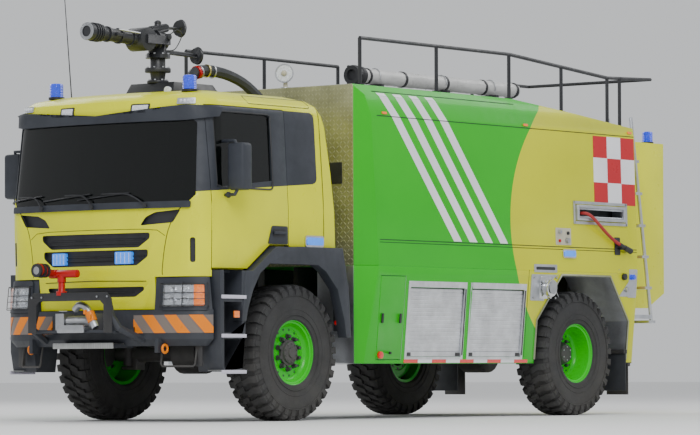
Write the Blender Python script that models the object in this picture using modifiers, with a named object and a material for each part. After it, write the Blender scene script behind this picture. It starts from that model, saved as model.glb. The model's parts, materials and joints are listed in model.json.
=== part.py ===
"""Airport fire truck: a forward-control 4x4 chassis with a tank body, roof monitor and bumper monitor.

Metres, +Z up. The truck faces -Y and its left side is +X. Pieces are modelled with Y = 0 on the
front axle, and an empty shifts them all so that the whole length is centred on the origin.
"""

import math

import bmesh
import bpy
from mathutils import Matrix, Vector

# Driving dimensions
WHEELBASE = 4.5
FRONT_OVERHANG = 1.93  # front axle to the front of the bumper monitor
REAR_OVERHANG = 2.30  # rear axle to the back of the pump box
GAP = 0.0003  # between pieces that rest on each other
RUNNING = 0.006  # between pieces that move past each other

# Wheels and axles
TYRE_RADIUS = 0.6225
TYRE_WIDTH = 0.354
TYRE_SIDES = 40
RIM_RADIUS = 0.294
RIM_WIDTH = 0.281
FRONT_TRACK = 2.032
REAR_TRACK = 2.126
HUB_Z = TYRE_RADIUS * math.cos(math.pi / TYRE_SIDES)
KINGPIN_X = 0.80
KNUCKLE_END_X = 0.93
AXLE_TUBE_RADIUS = 0.075
DIFF_RADIUS = 0.19

# Chassis
RAIL_X = 0.40
RAIL_WIDTH = 0.07
RAIL_LOW = 0.83
RAIL_HIGH = 1.10
RAIL_FRONT_Y = -1.28
SPRING_LENGTH = 1.50
SPRING_WIDTH = 0.08

# Cab
CAB_HALF_WIDTH = 1.20
CAB_FRONT_Y = -1.43
CAB_REAR_Y = 0.64
CAB_WALL = 0.05
CAB_FLOOR_LOW = 1.583
CAB_FLOOR_HIGH = 1.64
CAB_CEILING = 2.86
CAB_TOP = 2.97
DOOR_SILL = 1.36
DOOR_LIFT = 0.012  # the door's lower edge above the shell's
DOOR_FRONT_Y = -1.16
DOOR_REAR_Y = -0.112
DOOR_TOP = 2.82
DOOR_HINGE_X = CAB_HALF_WIDTH - 0.025
DOOR_HINGE_Z = (1.70, 1.96)
ARCH_FOOT_Y = -0.70
ARCH_HEAD_Y = -0.374
DOOR_REACH = (CAB_HALF_WIDTH - 0.30, CAB_HALF_WIDTH + 0.20)  # what the door's side view cuts through
PANE = 0.008

# Front end
BUMPER_LOW = 0.68
BUMPER_TOP = 1.00
HEADLIGHT_TOP = 1.29
HEADLIGHT_X = 0.70
BUMPER_DEPTH = 0.11
BULL_BAR_Y = -1.70
BULL_BAR_Z = 1.12
TRAY_Z = 0.825  # the winch tray's upper face

# Body
BODY_FRONT_Y = 0.95
BODY_REAR_Y = WHEELBASE + 1.06
BODY_CREASE_X = 1.262
CREASE_Z = 1.435
SEAM_X = 1.225
SEAM_Z = 2.84
BODY_TOP_X = 1.12
BODY_TOP_Z = 3.13
ROOF_BREAK_Y = WHEELBASE - 0.98
ROOF_REAR_Z = 2.93
SKIRT_X = 1.18
SKIRT_Z = 0.52
LOCKER_INNER_X = 0.70
LOCKER_WALL = 0.035
CHAMFER_LENGTH = 0.22
CHAMFER_DEPTH = 0.12
SHUTTER_LOW = 0.585
SHUTTER_HIGH = 1.24
SHUTTER_WIDTH = 0.87
SHUTTER_Y = (1.685, 2.685)
SHUTTER_THICK = 0.014
SHUTTER_RECESS = 0.012
SHUTTER_TRAVEL = 0.58
LOCKER_DOOR_Y = (1.22, 1.60)
LOCKER_DOOR_Z = (0.56, 1.34)
LOCKER_DOOR_THICK = 0.03
LOCKER_HINGE_DEPTH = 0.002
REAR_ARCH_TOP = 1.40
REAR_ARCH_FLAT = 0.87
REAR_ARCH_WIDTH = 1.64
REAR_ARCH_OFFSET = 0.12  # the arch's centre lies this far behind the axle
REAR_ARCH_SHOULDER = 0.95

# Rear
PUMP_BOX_X = 0.80
PUMP_BOX_TOP = 2.84
PUMP_BOX_LOW = 1.10
PUMP_BOX_WALL = 0.03
REAR_DOOR_THICK = 0.03

# Roof
RAIL_TUBE = 0.019
ROOF_RAIL_Z = 3.57
MONITOR_Y = -0.52
MONITOR_TURN_Z = 3.33
MONITOR_TILT_Y = -0.76
MONITOR_TILT_Z = 3.49

PARTS = "airport_fire_truck"


def clear_scene():
    for item in list(bpy.data.objects):
        bpy.data.objects.remove(item)


def new_collection(name):
    collection = bpy.data.collections.new(name)
    bpy.context.scene.collection.children.link(collection)
    return collection


def add_object(name, mesh):
    item = bpy.data.objects.new(name, mesh)
    bpy.data.collections[PARTS].objects.link(item)
    return item


def paint(name, colour, roughness=0.5, metallic=0.0):
    material = bpy.data.materials.new(name)
    material.use_nodes = True
    shader = material.node_tree.nodes["Principled BSDF"]
    shader.inputs["Base Color"].default_value = (*colour, 1.0)
    shader.inputs["Roughness"].default_value = roughness
    shader.inputs["Metallic"].default_value = metallic
    return material


def from_bmesh(name, work):
    bmesh.ops.recalc_face_normals(work, faces=work.faces)
    mesh = bpy.data.meshes.new(name)
    work.to_mesh(mesh)
    work.free()
    return add_object(name, mesh)


def box(name, low, high):
    work = bmesh.new()
    bmesh.ops.create_cube(work, size=1.0)
    size = [b - a for a, b in zip(low, high)]
    middle = [(a + b) / 2 for a, b in zip(low, high)]
    bmesh.ops.scale(work, vec=size, verts=work.verts)
    bmesh.ops.translate(work, vec=middle, verts=work.verts)
    return from_bmesh(name, work)


def cone(name, start, end, radius_start, radius_end, sides=16):
    start, end = Vector(start), Vector(end)
    work = bmesh.new()
    bmesh.ops.create_cone(
        work,
        cap_ends=True,
        segments=sides,
        radius1=radius_start,
        radius2=radius_end,
        depth=(end - start).length,
    )
    turn = (end - start).to_track_quat("Z", "Y").to_matrix().to_4x4()
    bmesh.ops.transform(work, matrix=Matrix.Translation((start + end) / 2) @ turn, verts=work.verts)
    return from_bmesh(name, work)


def rod(name, start, end, radius, sides=16):
    return cone(name, start, end, radius, radius, sides)


def bake(item):
    """Turns a curve, or a mesh with modifiers, into a plain welded mesh at the same place."""
    bpy.context.view_layer.update()
    graph = bpy.context.evaluated_depsgraph_get()
    evaluated = item.evaluated_get(graph)
    mesh = bpy.data.meshes.new_from_object(evaluated)
    mesh.transform(item.matrix_world)
    if item.type == "CURVE":
        work = bmesh.new()
        work.from_mesh(mesh)
        bmesh.ops.remove_doubles(work, verts=work.verts, dist=1e-5)
        work.to_mesh(mesh)
        work.free()
    name = item.name
    bpy.data.objects.remove(item)
    mesh.name = name
    return add_object(name, mesh)


AXES = {
    "X": Matrix(((0, 0, 1, 0), (1, 0, 0, 0), (0, 1, 0, 0), (0, 0, 0, 1))),
    "Y": Matrix(((1, 0, 0, 0), (0, 0, -1, 0), (0, 1, 0, 0), (0, 0, 0, 1))),
    "Z": Matrix.Identity(4),
}


def slab(name, outline, normal, low, high):
    """A flat outline made thick from low to high along its normal. Outlines are (y, z), (x, z) or (x, y)."""
    curve = bpy.data.curves.new(name, "CURVE")
    curve.dimensions = "2D"
    curve.fill_mode = "BOTH"
    curve.extrude = (high - low) / 2
    spline = curve.splines.new("POLY")
    spline.points.add(len(outline) - 1)
    for point, (u, v) in zip(spline.points, outline):
        point.co = (u, v, 0.0, 1.0)
    spline.use_cyclic_u = True
    item = add_object(name, curve)
    middle = (low + high) / 2
    shift = {"X": (middle, 0, 0), "Y": (0, middle, 0), "Z": (0, 0, middle)}[normal]
    item.matrix_world = Matrix.Translation(shift) @ AXES[normal]
    return bake(item)


def tube_curve(name, points, radius, resolution=2):
    curve = bpy.data.curves.new(name, "CURVE")
    curve.dimensions = "3D"
    curve.bevel_depth = radius
    curve.bevel_resolution = resolution
    curve.use_fill_caps = True
    spline = curve.splines.new("POLY")
    spline.points.add(len(points) - 1)
    for point, place in zip(spline.points, points):
        point.co = (*place, 1.0)
    return add_object(name, curve)


def tube(name, points, radius, resolution=2):
    return bake(tube_curve(name, points, radius, resolution))


def turned(name, profile, centre, sides):
    """A profile of (x, radius) points, from one end of the axis to the other, turned about X."""
    mesh = bpy.data.meshes.new(name)
    mesh.from_pydata([(x, 0.0, r) for x, r in profile], [(i, i + 1) for i in range(len(profile) - 1)], [])
    item = add_object(name, mesh)
    item.location = centre
    screw = item.modifiers.new("turn", "SCREW")
    screw.axis = "X"
    screw.steps = sides
    screw.render_steps = sides
    screw.use_merge_vertices = True
    screw.merge_threshold = 0.0001
    screw.use_smooth_shade = True
    item = bake(item)
    work = bmesh.new()
    work.from_mesh(item.data)
    # A flat at the bottom carries the wheel.
    half_step = Matrix.Rotation(math.pi / sides, 3, "X")
    bmesh.ops.rotate(work, cent=centre, matrix=half_step, verts=work.verts)
    bmesh.ops.recalc_face_normals(work, faces=work.faces)
    work.to_mesh(item.data)
    work.free()
    return item


def boolean(target, other, operation):
    modifier = target.modifiers.new(operation.lower(), "BOOLEAN")
    modifier.operation = operation
    modifier.solver = "EXACT"
    modifier.object = other
    result = bake(target)
    bpy.data.objects.remove(other)
    return result


def joined(name, pieces):
    result = pieces[0]
    for piece in pieces[1:]:
        result = boolean(result, piece, "UNION")
    result.name = name
    result.data.name = name
    return result


def cut(target, cutters):
    for cutter in cutters:
        target = boolean(target, cutter, "DIFFERENCE")
    return target


def common(target, other):
    return boolean(target, other, "INTERSECT")


def mirrored(item, name):
    """The same piece on the other side of the truck."""
    mesh = item.data.copy()
    mesh.transform(Matrix.Diagonal((-1, 1, 1, 1)))
    mesh.flip_normals()
    mesh.name = name
    return add_object(name, mesh)


def both_sides(item, stem):
    """Names a left-hand piece and adds its right-hand twin."""
    item.name = f"{stem}_left"
    return [item, mirrored(item, f"{stem}_right")]


# Wheels, axles and chassis


def wheel(name, track, y, side, disc_x):
    """Tyre, rim and hub, turned about the axle. The wheel disc sits disc_x outwards of the middle."""
    half = TYRE_WIDTH / 2
    flange = RIM_WIDTH / 2
    hub_out = disc_x + 0.10
    hub_in = KNUCKLE_END_X + 0.0005 - track / 2
    profile = [
        (hub_out, 0.0),
        (hub_out, 0.10),
        (disc_x + 0.02, 0.16),
        (disc_x + 0.02, 0.25),
        (flange - 0.015, 0.262),
        (flange, RIM_RADIUS),
        (half - 0.015, 0.40),
        (half, 0.49),
        (half - 0.018, 0.58),
        (half - 0.05, TYRE_RADIUS),
        (-half + 0.05, TYRE_RADIUS),
        (-half + 0.018, 0.58),
        (-half, 0.49),
        (-half + 0.015, 0.40),
        (-flange, RIM_RADIUS),
        (-flange + 0.015, 0.262),
        (disc_x, 0.25),
        (disc_x, 0.14),
        (hub_in, 0.10),
        (hub_in, 0.0),
    ]
    profile = [(side * x, r) for x, r in profile]
    return turned(name, profile, (side * track / 2, y, HUB_Z), TYRE_SIDES)


def make_wheels():
    wheels = []
    for side, word in ((1, "left"), (-1, "right")):
        wheels.append(wheel(f"front_wheel_{word}", FRONT_TRACK, 0.0, side, 0.045))
        wheels.append(wheel(f"rear_wheel_{word}", REAR_TRACK, WHEELBASE, side, -0.06))
    return wheels


def leaf_spring(name, x, y):
    half = SPRING_LENGTH / 2
    eye_z = RAIL_LOW - GAP
    seat = HUB_Z + AXLE_TUBE_RADIUS - 0.02
    outline = [
        (y - half, eye_z),
        (y - half, eye_z - 0.03),
        (y - 0.10, seat),
        (y + 0.10, seat),
        (y + half, eye_z - 0.03),
        (y + half, eye_z),
        (y + half - 0.08, eye_z),
        (y + 0.10, seat + 0.07),
        (y - 0.10, seat + 0.07),
        (y - half + 0.08, eye_z),
    ]
    return slab(name, outline, "X", x - SPRING_WIDTH / 2, x + SPRING_WIDTH / 2)


def differential(name, y, pinion):
    """A round case on the axle with its input flange towards the middle of the truck."""
    case = rod(f"{name}_case", (-0.14, y, HUB_Z), (0.14, y, HUB_Z), DIFF_RADIUS, 20)
    nose = cone(f"{name}_nose", (0, y, HUB_Z), (0, y + pinion, HUB_Z), 0.14, 0.06, 16)
    return [case, nose]


PINION = 0.33
YOKE_X = 0.715
KNUCKLE_HALF_HEIGHT = 0.11
LUG = 0.035


def make_front_axle():
    pieces = [rod("front_axle", (-YOKE_X, 0, HUB_Z), (YOKE_X, 0, HUB_Z), AXLE_TUBE_RADIUS)]
    pieces += differential("front_axle", 0.0, PINION)
    pieces += [leaf_spring("front_spring", side * RAIL_X, 0.0) for side in (1, -1)]
    reach = KNUCKLE_HALF_HEIGHT + RUNNING + LUG
    for side in (1, -1):
        inner, web = sorted((side * (YOKE_X - 0.05), side * YOKE_X))
        pieces.append(box("yoke_web", (inner, -0.06, HUB_Z - reach), (web, 0.06, HUB_Z + reach)))
        near, far = sorted((side * (YOKE_X - 0.02), side * (KINGPIN_X + 0.05)))
        for sign in (1, -1):
            low, high = sorted((sign * (reach - LUG), sign * reach))
            pieces.append(box("yoke_lug", (near, -0.055, HUB_Z + low), (far, 0.055, HUB_Z + high)))
    return joined("front_axle", pieces)


def make_knuckles():
    """The steering knuckles turn about the kingpins between the yokes' lugs and carry the front wheels."""
    height = KNUCKLE_HALF_HEIGHT
    block = rod("knuckle", (KINGPIN_X, 0, HUB_Z - height), (KINGPIN_X, 0, HUB_Z + height), 0.06, 16)
    spindle = rod("spindle", (KINGPIN_X, 0, HUB_Z), (KNUCKLE_END_X, 0, HUB_Z), 0.07, 16)
    arm = box("arm", (KINGPIN_X - 0.03, 0.0, HUB_Z - 0.09), (KINGPIN_X + 0.03, 0.20, HUB_Z - 0.05))
    reach = height + RUNNING - GAP
    kingpin = rod("kingpin", (KINGPIN_X, 0, HUB_Z - reach), (KINGPIN_X, 0, HUB_Z + reach), 0.03, 16)
    return both_sides(joined("knuckle", [block, spindle, arm, kingpin]), "steering_knuckle")


def make_rear_axle():
    y = WHEELBASE
    pieces = [rod("rear_axle", (-KNUCKLE_END_X, y, HUB_Z), (KNUCKLE_END_X, y, HUB_Z), AXLE_TUBE_RADIUS)]
    pieces += differential("rear_axle", y, -PINION)
    pieces += [leaf_spring("rear_spring", side * RAIL_X, y) for side in (1, -1)]
    return joined("rear_axle", pieces)


CROSS_MEMBERS = (RAIL_FRONT_Y + 0.05, 1.95, WHEELBASE - 1.3, BODY_REAR_Y + 0.34)


def make_chassis():
    half = RAIL_WIDTH / 2
    rear = BODY_REAR_Y + 0.50
    subframe_top = CREASE_Z - GAP
    pieces = []
    for side in (1, -1):
        x = side * RAIL_X
        pieces.append(box("rail", (x - half, RAIL_FRONT_Y, RAIL_LOW), (x + half, rear, RAIL_HIGH)))
        low = (x - half + 0.01, BODY_FRONT_Y + 0.05, RAIL_HIGH - 0.01)
        pieces.append(box("subframe", low, (x + half - 0.01, BODY_REAR_Y - 0.05, subframe_top)))
        for y in (-0.95, 0.45):
            low = (x - half + 0.005, y - 0.05, RAIL_HIGH - 0.01)
            pieces.append(box("cab_mount", low, (x + half - 0.005, y + 0.05, CAB_FLOOR_LOW - GAP)))
    for y in CROSS_MEMBERS:
        low = (-RAIL_X, y - 0.035, RAIL_LOW + 0.10)
        pieces.append(box("cross_member", low, (RAIL_X, y + 0.035, RAIL_HIGH - 0.01)))
    return joined("chassis_frame", pieces)


def make_driveline():
    """The engine is one plain block. The gearbox, transfer case and shafts hang behind it."""
    engine = box("engine", (-0.30, -1.12, 0.87), (0.30, 0.10, 1.50))
    foot_x = RAIL_X - RAIL_WIDTH / 2 - GAP
    feet = [
        box("foot", (-foot_x, y, 0.98), (foot_x, y + 0.08, 1.05))
        for y in (-0.90, -0.15)
    ]
    gearbox = cone("gearbox", (0, 0.05, 1.08), (0, 0.95, 1.02), 0.20, 0.15, 16)
    transfer = box("transfer", (-0.20, 0.90, 0.56), (0.20, 1.25, 1.06))
    shaft_z = HUB_Z
    front_y, rear_y = PINION + GAP, WHEELBASE - PINION - GAP
    shafts = [
        rod("front_flange", (0, front_y, shaft_z), (0, front_y + 0.03, shaft_z), 0.055, 12),
        rod("front_shaft", (0, front_y + 0.02, shaft_z), (0, 0.95, 0.66), 0.04, 12),
        rod("rear_flange", (0, rear_y, shaft_z), (0, rear_y - 0.03, shaft_z), 0.055, 12),
        rod("rear_shaft", (0, 1.20, 0.68), (0, rear_y - 0.02, shaft_z), 0.04, 12),
    ]
    return joined("engine_and_driveline", [engine, *feet, gearbox, transfer, *shafts])


# Cab

# Height, half width, front, rear and front corner radius of the cab's plan at that height
CAB_LEVELS = (
    (BUMPER_TOP + RUNNING, CAB_HALF_WIDTH - 0.01, CAB_FRONT_Y + 0.03, CAB_REAR_Y, 0.33),
    (1.30, CAB_HALF_WIDTH, CAB_FRONT_Y, CAB_REAR_Y, 0.33),
    (1.92, CAB_HALF_WIDTH, CAB_FRONT_Y, CAB_REAR_Y - 0.025, 0.30),
    (2.28, CAB_HALF_WIDTH - 0.02, CAB_FRONT_Y + 0.035, CAB_REAR_Y - 0.055, 0.29),
    (2.70, CAB_HALF_WIDTH - 0.045, CAB_FRONT_Y + 0.08, CAB_REAR_Y - 0.115, 0.27),
    (2.80, CAB_HALF_WIDTH - 0.055, CAB_FRONT_Y + 0.08, CAB_REAR_Y - 0.155, 0.26),
    (2.88, CAB_HALF_WIDTH - 0.085, CAB_FRONT_Y + 0.10, CAB_REAR_Y - 0.205, 0.25),
    (2.93, CAB_HALF_WIDTH - 0.15, CAB_FRONT_Y + 0.17, CAB_REAR_Y - 0.27, 0.22),
    (CAB_TOP, CAB_HALF_WIDTH - 0.30, CAB_FRONT_Y + 0.33, CAB_REAR_Y - 0.40, 0.18),
)
FRONT_BOW = 0.09  # how far the middle of the front stands before its corners
REAR_CORNER = 0.07


def plan_outline(half_width, front, rear, corner, inset=0.0):
    """One closed plan section: a bowed front, round front corners, straight sides, small rear corners."""
    half_width -= inset
    front += inset
    rear -= inset
    corner = max(corner - inset, 0.03)
    rear_corner = max(REAR_CORNER - inset, 0.02)
    centre_x = half_width - corner
    lean = math.atan2(2 * FRONT_BOW, centre_x)
    bow_x = centre_x + corner * math.sin(lean)
    centre_y = front + FRONT_BOW + corner * math.cos(lean)
    half = []
    for i in range(5):
        x = bow_x * i / 5
        half.append((x, front + FRONT_BOW * (x / bow_x) ** 2))
    for i in range(7):
        angle = lean + (math.pi / 2 - lean) * i / 6
        half.append((centre_x + corner * math.sin(angle), centre_y - corner * math.cos(angle)))
    for i in range(4):
        angle = math.pi / 2 * i / 3
        x = half_width - rear_corner + rear_corner * math.cos(angle)
        half.append((x, rear - rear_corner + rear_corner * math.sin(angle)))
    return half + [(-x, y) for x, y in reversed(half[1:])]


def cab_shape(z):
    """The cab's plan sizes at a height between the levels."""
    if z <= CAB_LEVELS[0][0]:
        return CAB_LEVELS[0][1:]
    for below, above in zip(CAB_LEVELS, CAB_LEVELS[1:]):
        if z <= above[0]:
            share = (z - below[0]) / (above[0] - below[0])
            return tuple(a + (b - a) * share for a, b in zip(below[1:], above[1:]))
    return CAB_LEVELS[-1][1:]


def loft(name, sections):
    """A closed solid through plan sections, each a height and its outline."""
    work = bmesh.new()
    rings = [[work.verts.new((x, y, z)) for x, y in outline] for z, outline in sections]
    count = len(rings[0])
    for lower, upper in zip(rings, rings[1:]):
        for i in range(count):
            j = (i + 1) % count
            work.faces.new((lower[i], lower[j], upper[j], upper[i]))
    work.faces.new(rings[0])
    work.faces.new(rings[-1])
    return from_bmesh(name, work)


def cab_solid(name, inset, low, high):
    heights = [low] + [level[0] for level in CAB_LEVELS if low < level[0] < high] + [high]
    return loft(name, [(z, plan_outline(*cab_shape(z), inset)) for z in heights])


WHEEL_CUT = (
    (DOOR_FRONT_Y, 0.90),
    (DOOR_FRONT_Y, DOOR_SILL),
    (ARCH_FOOT_Y, DOOR_SILL),
    (ARCH_HEAD_Y, CAB_FLOOR_LOW),
    (CAB_REAR_Y + 0.2, CAB_FLOOR_LOW),
    (CAB_REAR_Y + 0.2, 0.90),
)


def door_outline(grow, lift=0.0):
    """The door's side view, a clearance larger all round, with its lower edges lifted."""
    slope_y = 0.4 * (grow - lift)
    sill, floor = DOOR_SILL - grow + lift, CAB_FLOOR_LOW - grow + lift
    return (
        (DOOR_FRONT_Y - grow, sill),
        (ARCH_FOOT_Y + slope_y, sill),
        (ARCH_HEAD_Y + slope_y, floor),
        (DOOR_REAR_Y + grow, floor),
        (DOOR_REAR_Y + grow, DOOR_TOP + grow),
        (DOOR_FRONT_Y - grow, DOOR_TOP + grow),
    )


WINDSHIELD_HALF = (
    (CAB_HALF_WIDTH - 0.18, 1.95),
    (CAB_HALF_WIDTH - 0.12, 2.02),
    (CAB_HALF_WIDTH - 0.15, 2.66),
    (CAB_HALF_WIDTH - 0.20, 2.71),
)
WINDSHIELD = (*WINDSHIELD_HALF, *((-x, z) for x, z in reversed(WINDSHIELD_HALF)))
SIDE_WINDOW = ((-1.10, 2.09), (-0.33, 2.17), (-0.32, 2.74), (-0.36, 2.77), (-1.06, 2.77), (-1.10, 2.73))


def shrunk(outline, amount):
    """An outline moved towards its middle by about this much."""
    middle_u = sum(u for u, v in outline) / len(outline)
    middle_v = sum(v for u, v in outline) / len(outline)
    result = []
    for u, v in outline:
        result.append((u - math.copysign(amount, u - middle_u), v - math.copysign(amount, v - middle_v)))
    return result


def side_window_cutter(outline):
    return slab("side_window", outline, "X", CAB_HALF_WIDTH - 0.18, DOOR_REACH[1])


def pane_layer(name, depth):
    """A thin sheet of the cab's outer form, this far under its skin."""
    outer = cab_solid(name, depth, 1.70, 2.90)
    inner = cab_solid("inner", depth + PANE, 1.65, 2.95)
    return cut(outer, [inner])


def side_x(z, y, inset):
    """The cab side's distance from the middle at a height and a place along it."""
    outline = plan_outline(*cab_shape(z), inset)
    for (x0, y0), (x1, y1) in zip(outline, outline[1:]):
        if y0 <= y <= y1:
            return x0 + (x1 - x0) * (y - y0) / (y1 - y0)
    return outline[-1][0]


def hinge_relief(side):
    """Room in the sill and floor for the door's inner front corner as the door swings."""
    corner = DOOR_HINGE_X - side_x(DOOR_SILL, DOOR_FRONT_Y, CAB_WALL)
    low, high = DOOR_SILL - RUNNING, CAB_FLOOR_HIGH + RUNNING
    x = side * DOOR_HINGE_X
    round_part = rod("relief", (x, DOOR_FRONT_Y, low), (x, DOOR_FRONT_Y, high), corner + RUNNING, 24)
    behind = box("behind", (-2.0, DOOR_FRONT_Y - RUNNING, low - 0.1), (2.0, DOOR_REAR_Y, high + 0.1))
    return common(round_part, behind)


def make_cab_shell():
    shell = cab_solid("cab_shell", 0.0, CAB_LEVELS[0][0], CAB_TOP)
    shell = cut(shell, [cab_solid("cavity", CAB_WALL, CAB_FLOOR_HIGH, CAB_CEILING)])
    wheel_cut = slab("wheel_cut", WHEEL_CUT, "X", -1.5, 1.5)
    engine_bay = box("engine_bay", (-0.65, CAB_FRONT_Y + 0.12, 0.8), (0.65, 0.9, CAB_FLOOR_LOW))
    corner_cuts = []
    for side in (1, -1):
        near, far = sorted((side * (HEADLIGHT_X - 0.01), side * 1.5))
        corner_cuts.append(box("corner_cut", (near, -2.0, 0.8), (far, 0.0, HEADLIGHT_TOP + 0.005)))
    shell = cut(shell, [wheel_cut, engine_bay, *corner_cuts])
    for side in (1, -1):
        low, high = sorted((side * DOOR_REACH[0], side * DOOR_REACH[1]))
        layer = cab_solid("layer", -0.05, 1.1, 2.95)
        layer = cut(layer, [cab_solid("inner", CAB_WALL + RUNNING, 1.0, 3.0)])
        opening = slab("opening", door_outline(RUNNING), "X", low, high)
        shell = cut(shell, [common(opening, layer), hinge_relief(side)])
    shell = cut(shell, [slab("windshield_hole", WINDSHIELD, "Y", -2.0, -0.9)])
    shell.name = "cab_shell"
    return shell


def make_windshield():
    opening = slab("windshield_prism", shrunk(WINDSHIELD, GAP), "Y", -2.0, -0.95)
    pane = common(pane_layer("windshield", 0.006), opening)
    pane.name = "windshield"
    return pane


def make_doors():
    skin = cut(cab_solid("door", 0.0, 1.2, 2.9), [cab_solid("inner", CAB_WALL, 1.1, 2.95)])
    door = common(skin, slab("door_prism", door_outline(0.0, DOOR_LIFT), "X", *DOOR_REACH))
    door = cut(door, [side_window_cutter(SIDE_WINDOW)])
    foot, head = ((DOOR_HINGE_X, DOOR_FRONT_Y, z) for z in DOOR_HINGE_Z)
    hinge = rod("hinge", foot, head, RUNNING - GAP, 12)
    door = joined("cab_door", [door, hinge])
    pane = common(pane_layer("side_window", 0.012), side_window_cutter(shrunk(SIDE_WINDOW, GAP)))
    return both_sides(door, "cab_door") + both_sides(pane, "door_window")


MIRROR_LOW = (CAB_HALF_WIDTH + 0.05, -1.05, 2.06)
MIRROR_HIGH = (CAB_HALF_WIDTH + 0.24, -0.91, 2.48)


def make_mirrors():
    """A mirror head on two arms that reach from the door's front edge."""
    head = box("mirror", MIRROR_LOW, MIRROR_HIGH)
    bevel = head.modifiers.new("round", "BEVEL")
    bevel.width = 0.03
    bevel.segments = 2
    head = bake(head)
    arms = []
    for z, foot_x in ((2.02, CAB_HALF_WIDTH - 0.03), (2.50, CAB_HALF_WIDTH - 0.05)):
        bend = 0.08 if z < 2.3 else -0.08
        bend_x = CAB_HALF_WIDTH + 0.12
        points = [(foot_x, -1.0, z), (bend_x, -1.02, z), (bend_x + 0.02, -0.98, z + bend)]
        arms.append(tube("mirror_arm", points, 0.016))
    mirror = joined("mirror", [head, *arms])
    # The arms' feet end a hair off the door's skin.
    mirror = cut(mirror, [cab_solid("skin", -GAP, 1.8, 2.7)])
    return both_sides(mirror, "mirror")


def make_dashboard():
    foot = CAB_FLOOR_HIGH + GAP
    half = CAB_HALF_WIDTH - 0.22
    outline = (
        (-1.26, 1.95),
        (-1.26, 1.92),
        (-1.16, 1.70),
        (-1.16, foot),
        (-0.98, foot),
        (-0.90, 1.80),
        (-0.86, 1.92),
        (-0.90, 1.97),
        (-1.02, 1.99),
    )
    dash = slab("dashboard", outline, "X", -half, half)
    # It stops short of the curved front corners.
    dash = common(dash, cab_solid("inside", CAB_WALL + 0.03, 1.55, 2.5))
    line, centre = COLUMN_LINE, WHEEL_CENTRE
    column = rod("column", centre - line * 0.22, centre - line * (STEERING_HUB + GAP), 0.035, 12)
    return joined("dashboard", [dash, column])


WHEEL_CENTRE = Vector((0.62, -0.775, 2.015))
COLUMN_LINE = Vector((0.0, 0.15, 0.13)).normalized()
STEERING_HUB = 0.022


def make_steering_wheel():
    turn = COLUMN_LINE.to_track_quat("Z", "Y").to_matrix().to_4x4()
    place = Matrix.Translation(WHEEL_CENTRE) @ turn
    ring = []
    for i in range(24):
        angle = 2 * math.pi * i / 24
        ring.append(place @ Vector((0.225 * math.cos(angle), 0.225 * math.sin(angle), 0.0)))
    curve = tube_curve("steering_wheel", ring, 0.016, 1)
    curve.data.splines[0].use_cyclic_u = True
    rim = bake(curve)
    hub = rod("hub", place @ Vector((0, 0, -STEERING_HUB)), place @ Vector((0, 0, 0.015)), 0.05, 12)
    spokes = []
    for angle in (math.pi / 2, math.pi * 7 / 6, math.pi * 11 / 6):
        end = place @ Vector((0.225 * math.cos(angle), 0.225 * math.sin(angle), 0.0))
        spokes.append(rod("spoke", place @ Vector((0, 0, -0.005)), end, 0.012, 8))
    return joined("steering_wheel", [rim, hub, *spokes])


SEAT_X = 0.62
SEAT_HALF = 0.25


def make_seats():
    """A seat is a pedestal, a cushion, a raked back and a head rest in one piece."""
    floor = CAB_FLOOR_HIGH + GAP
    pedestal = box("seat", (SEAT_X - 0.18, -0.35, floor), (SEAT_X + 0.18, 0.02, 1.94))
    cushion = box("cushion", (SEAT_X - SEAT_HALF, -0.48, 1.92), (SEAT_X + SEAT_HALF, 0.05, 2.04))
    outline = ((-0.02, 1.96), (0.14, 1.96), (0.26, 2.60), (0.14, 2.62))
    back = slab("back", outline, "X", SEAT_X - SEAT_HALF + 0.01, SEAT_X + SEAT_HALF - 0.01)
    head_outline = ((0.15, 2.56), (0.25, 2.56), (0.29, 2.79), (0.18, 2.79))
    head = slab("head", head_outline, "X", SEAT_X - 0.13, SEAT_X + 0.13)
    return both_sides(joined("seat", [pedestal, cushion, back, head]), "seat")


# Front end


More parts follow.
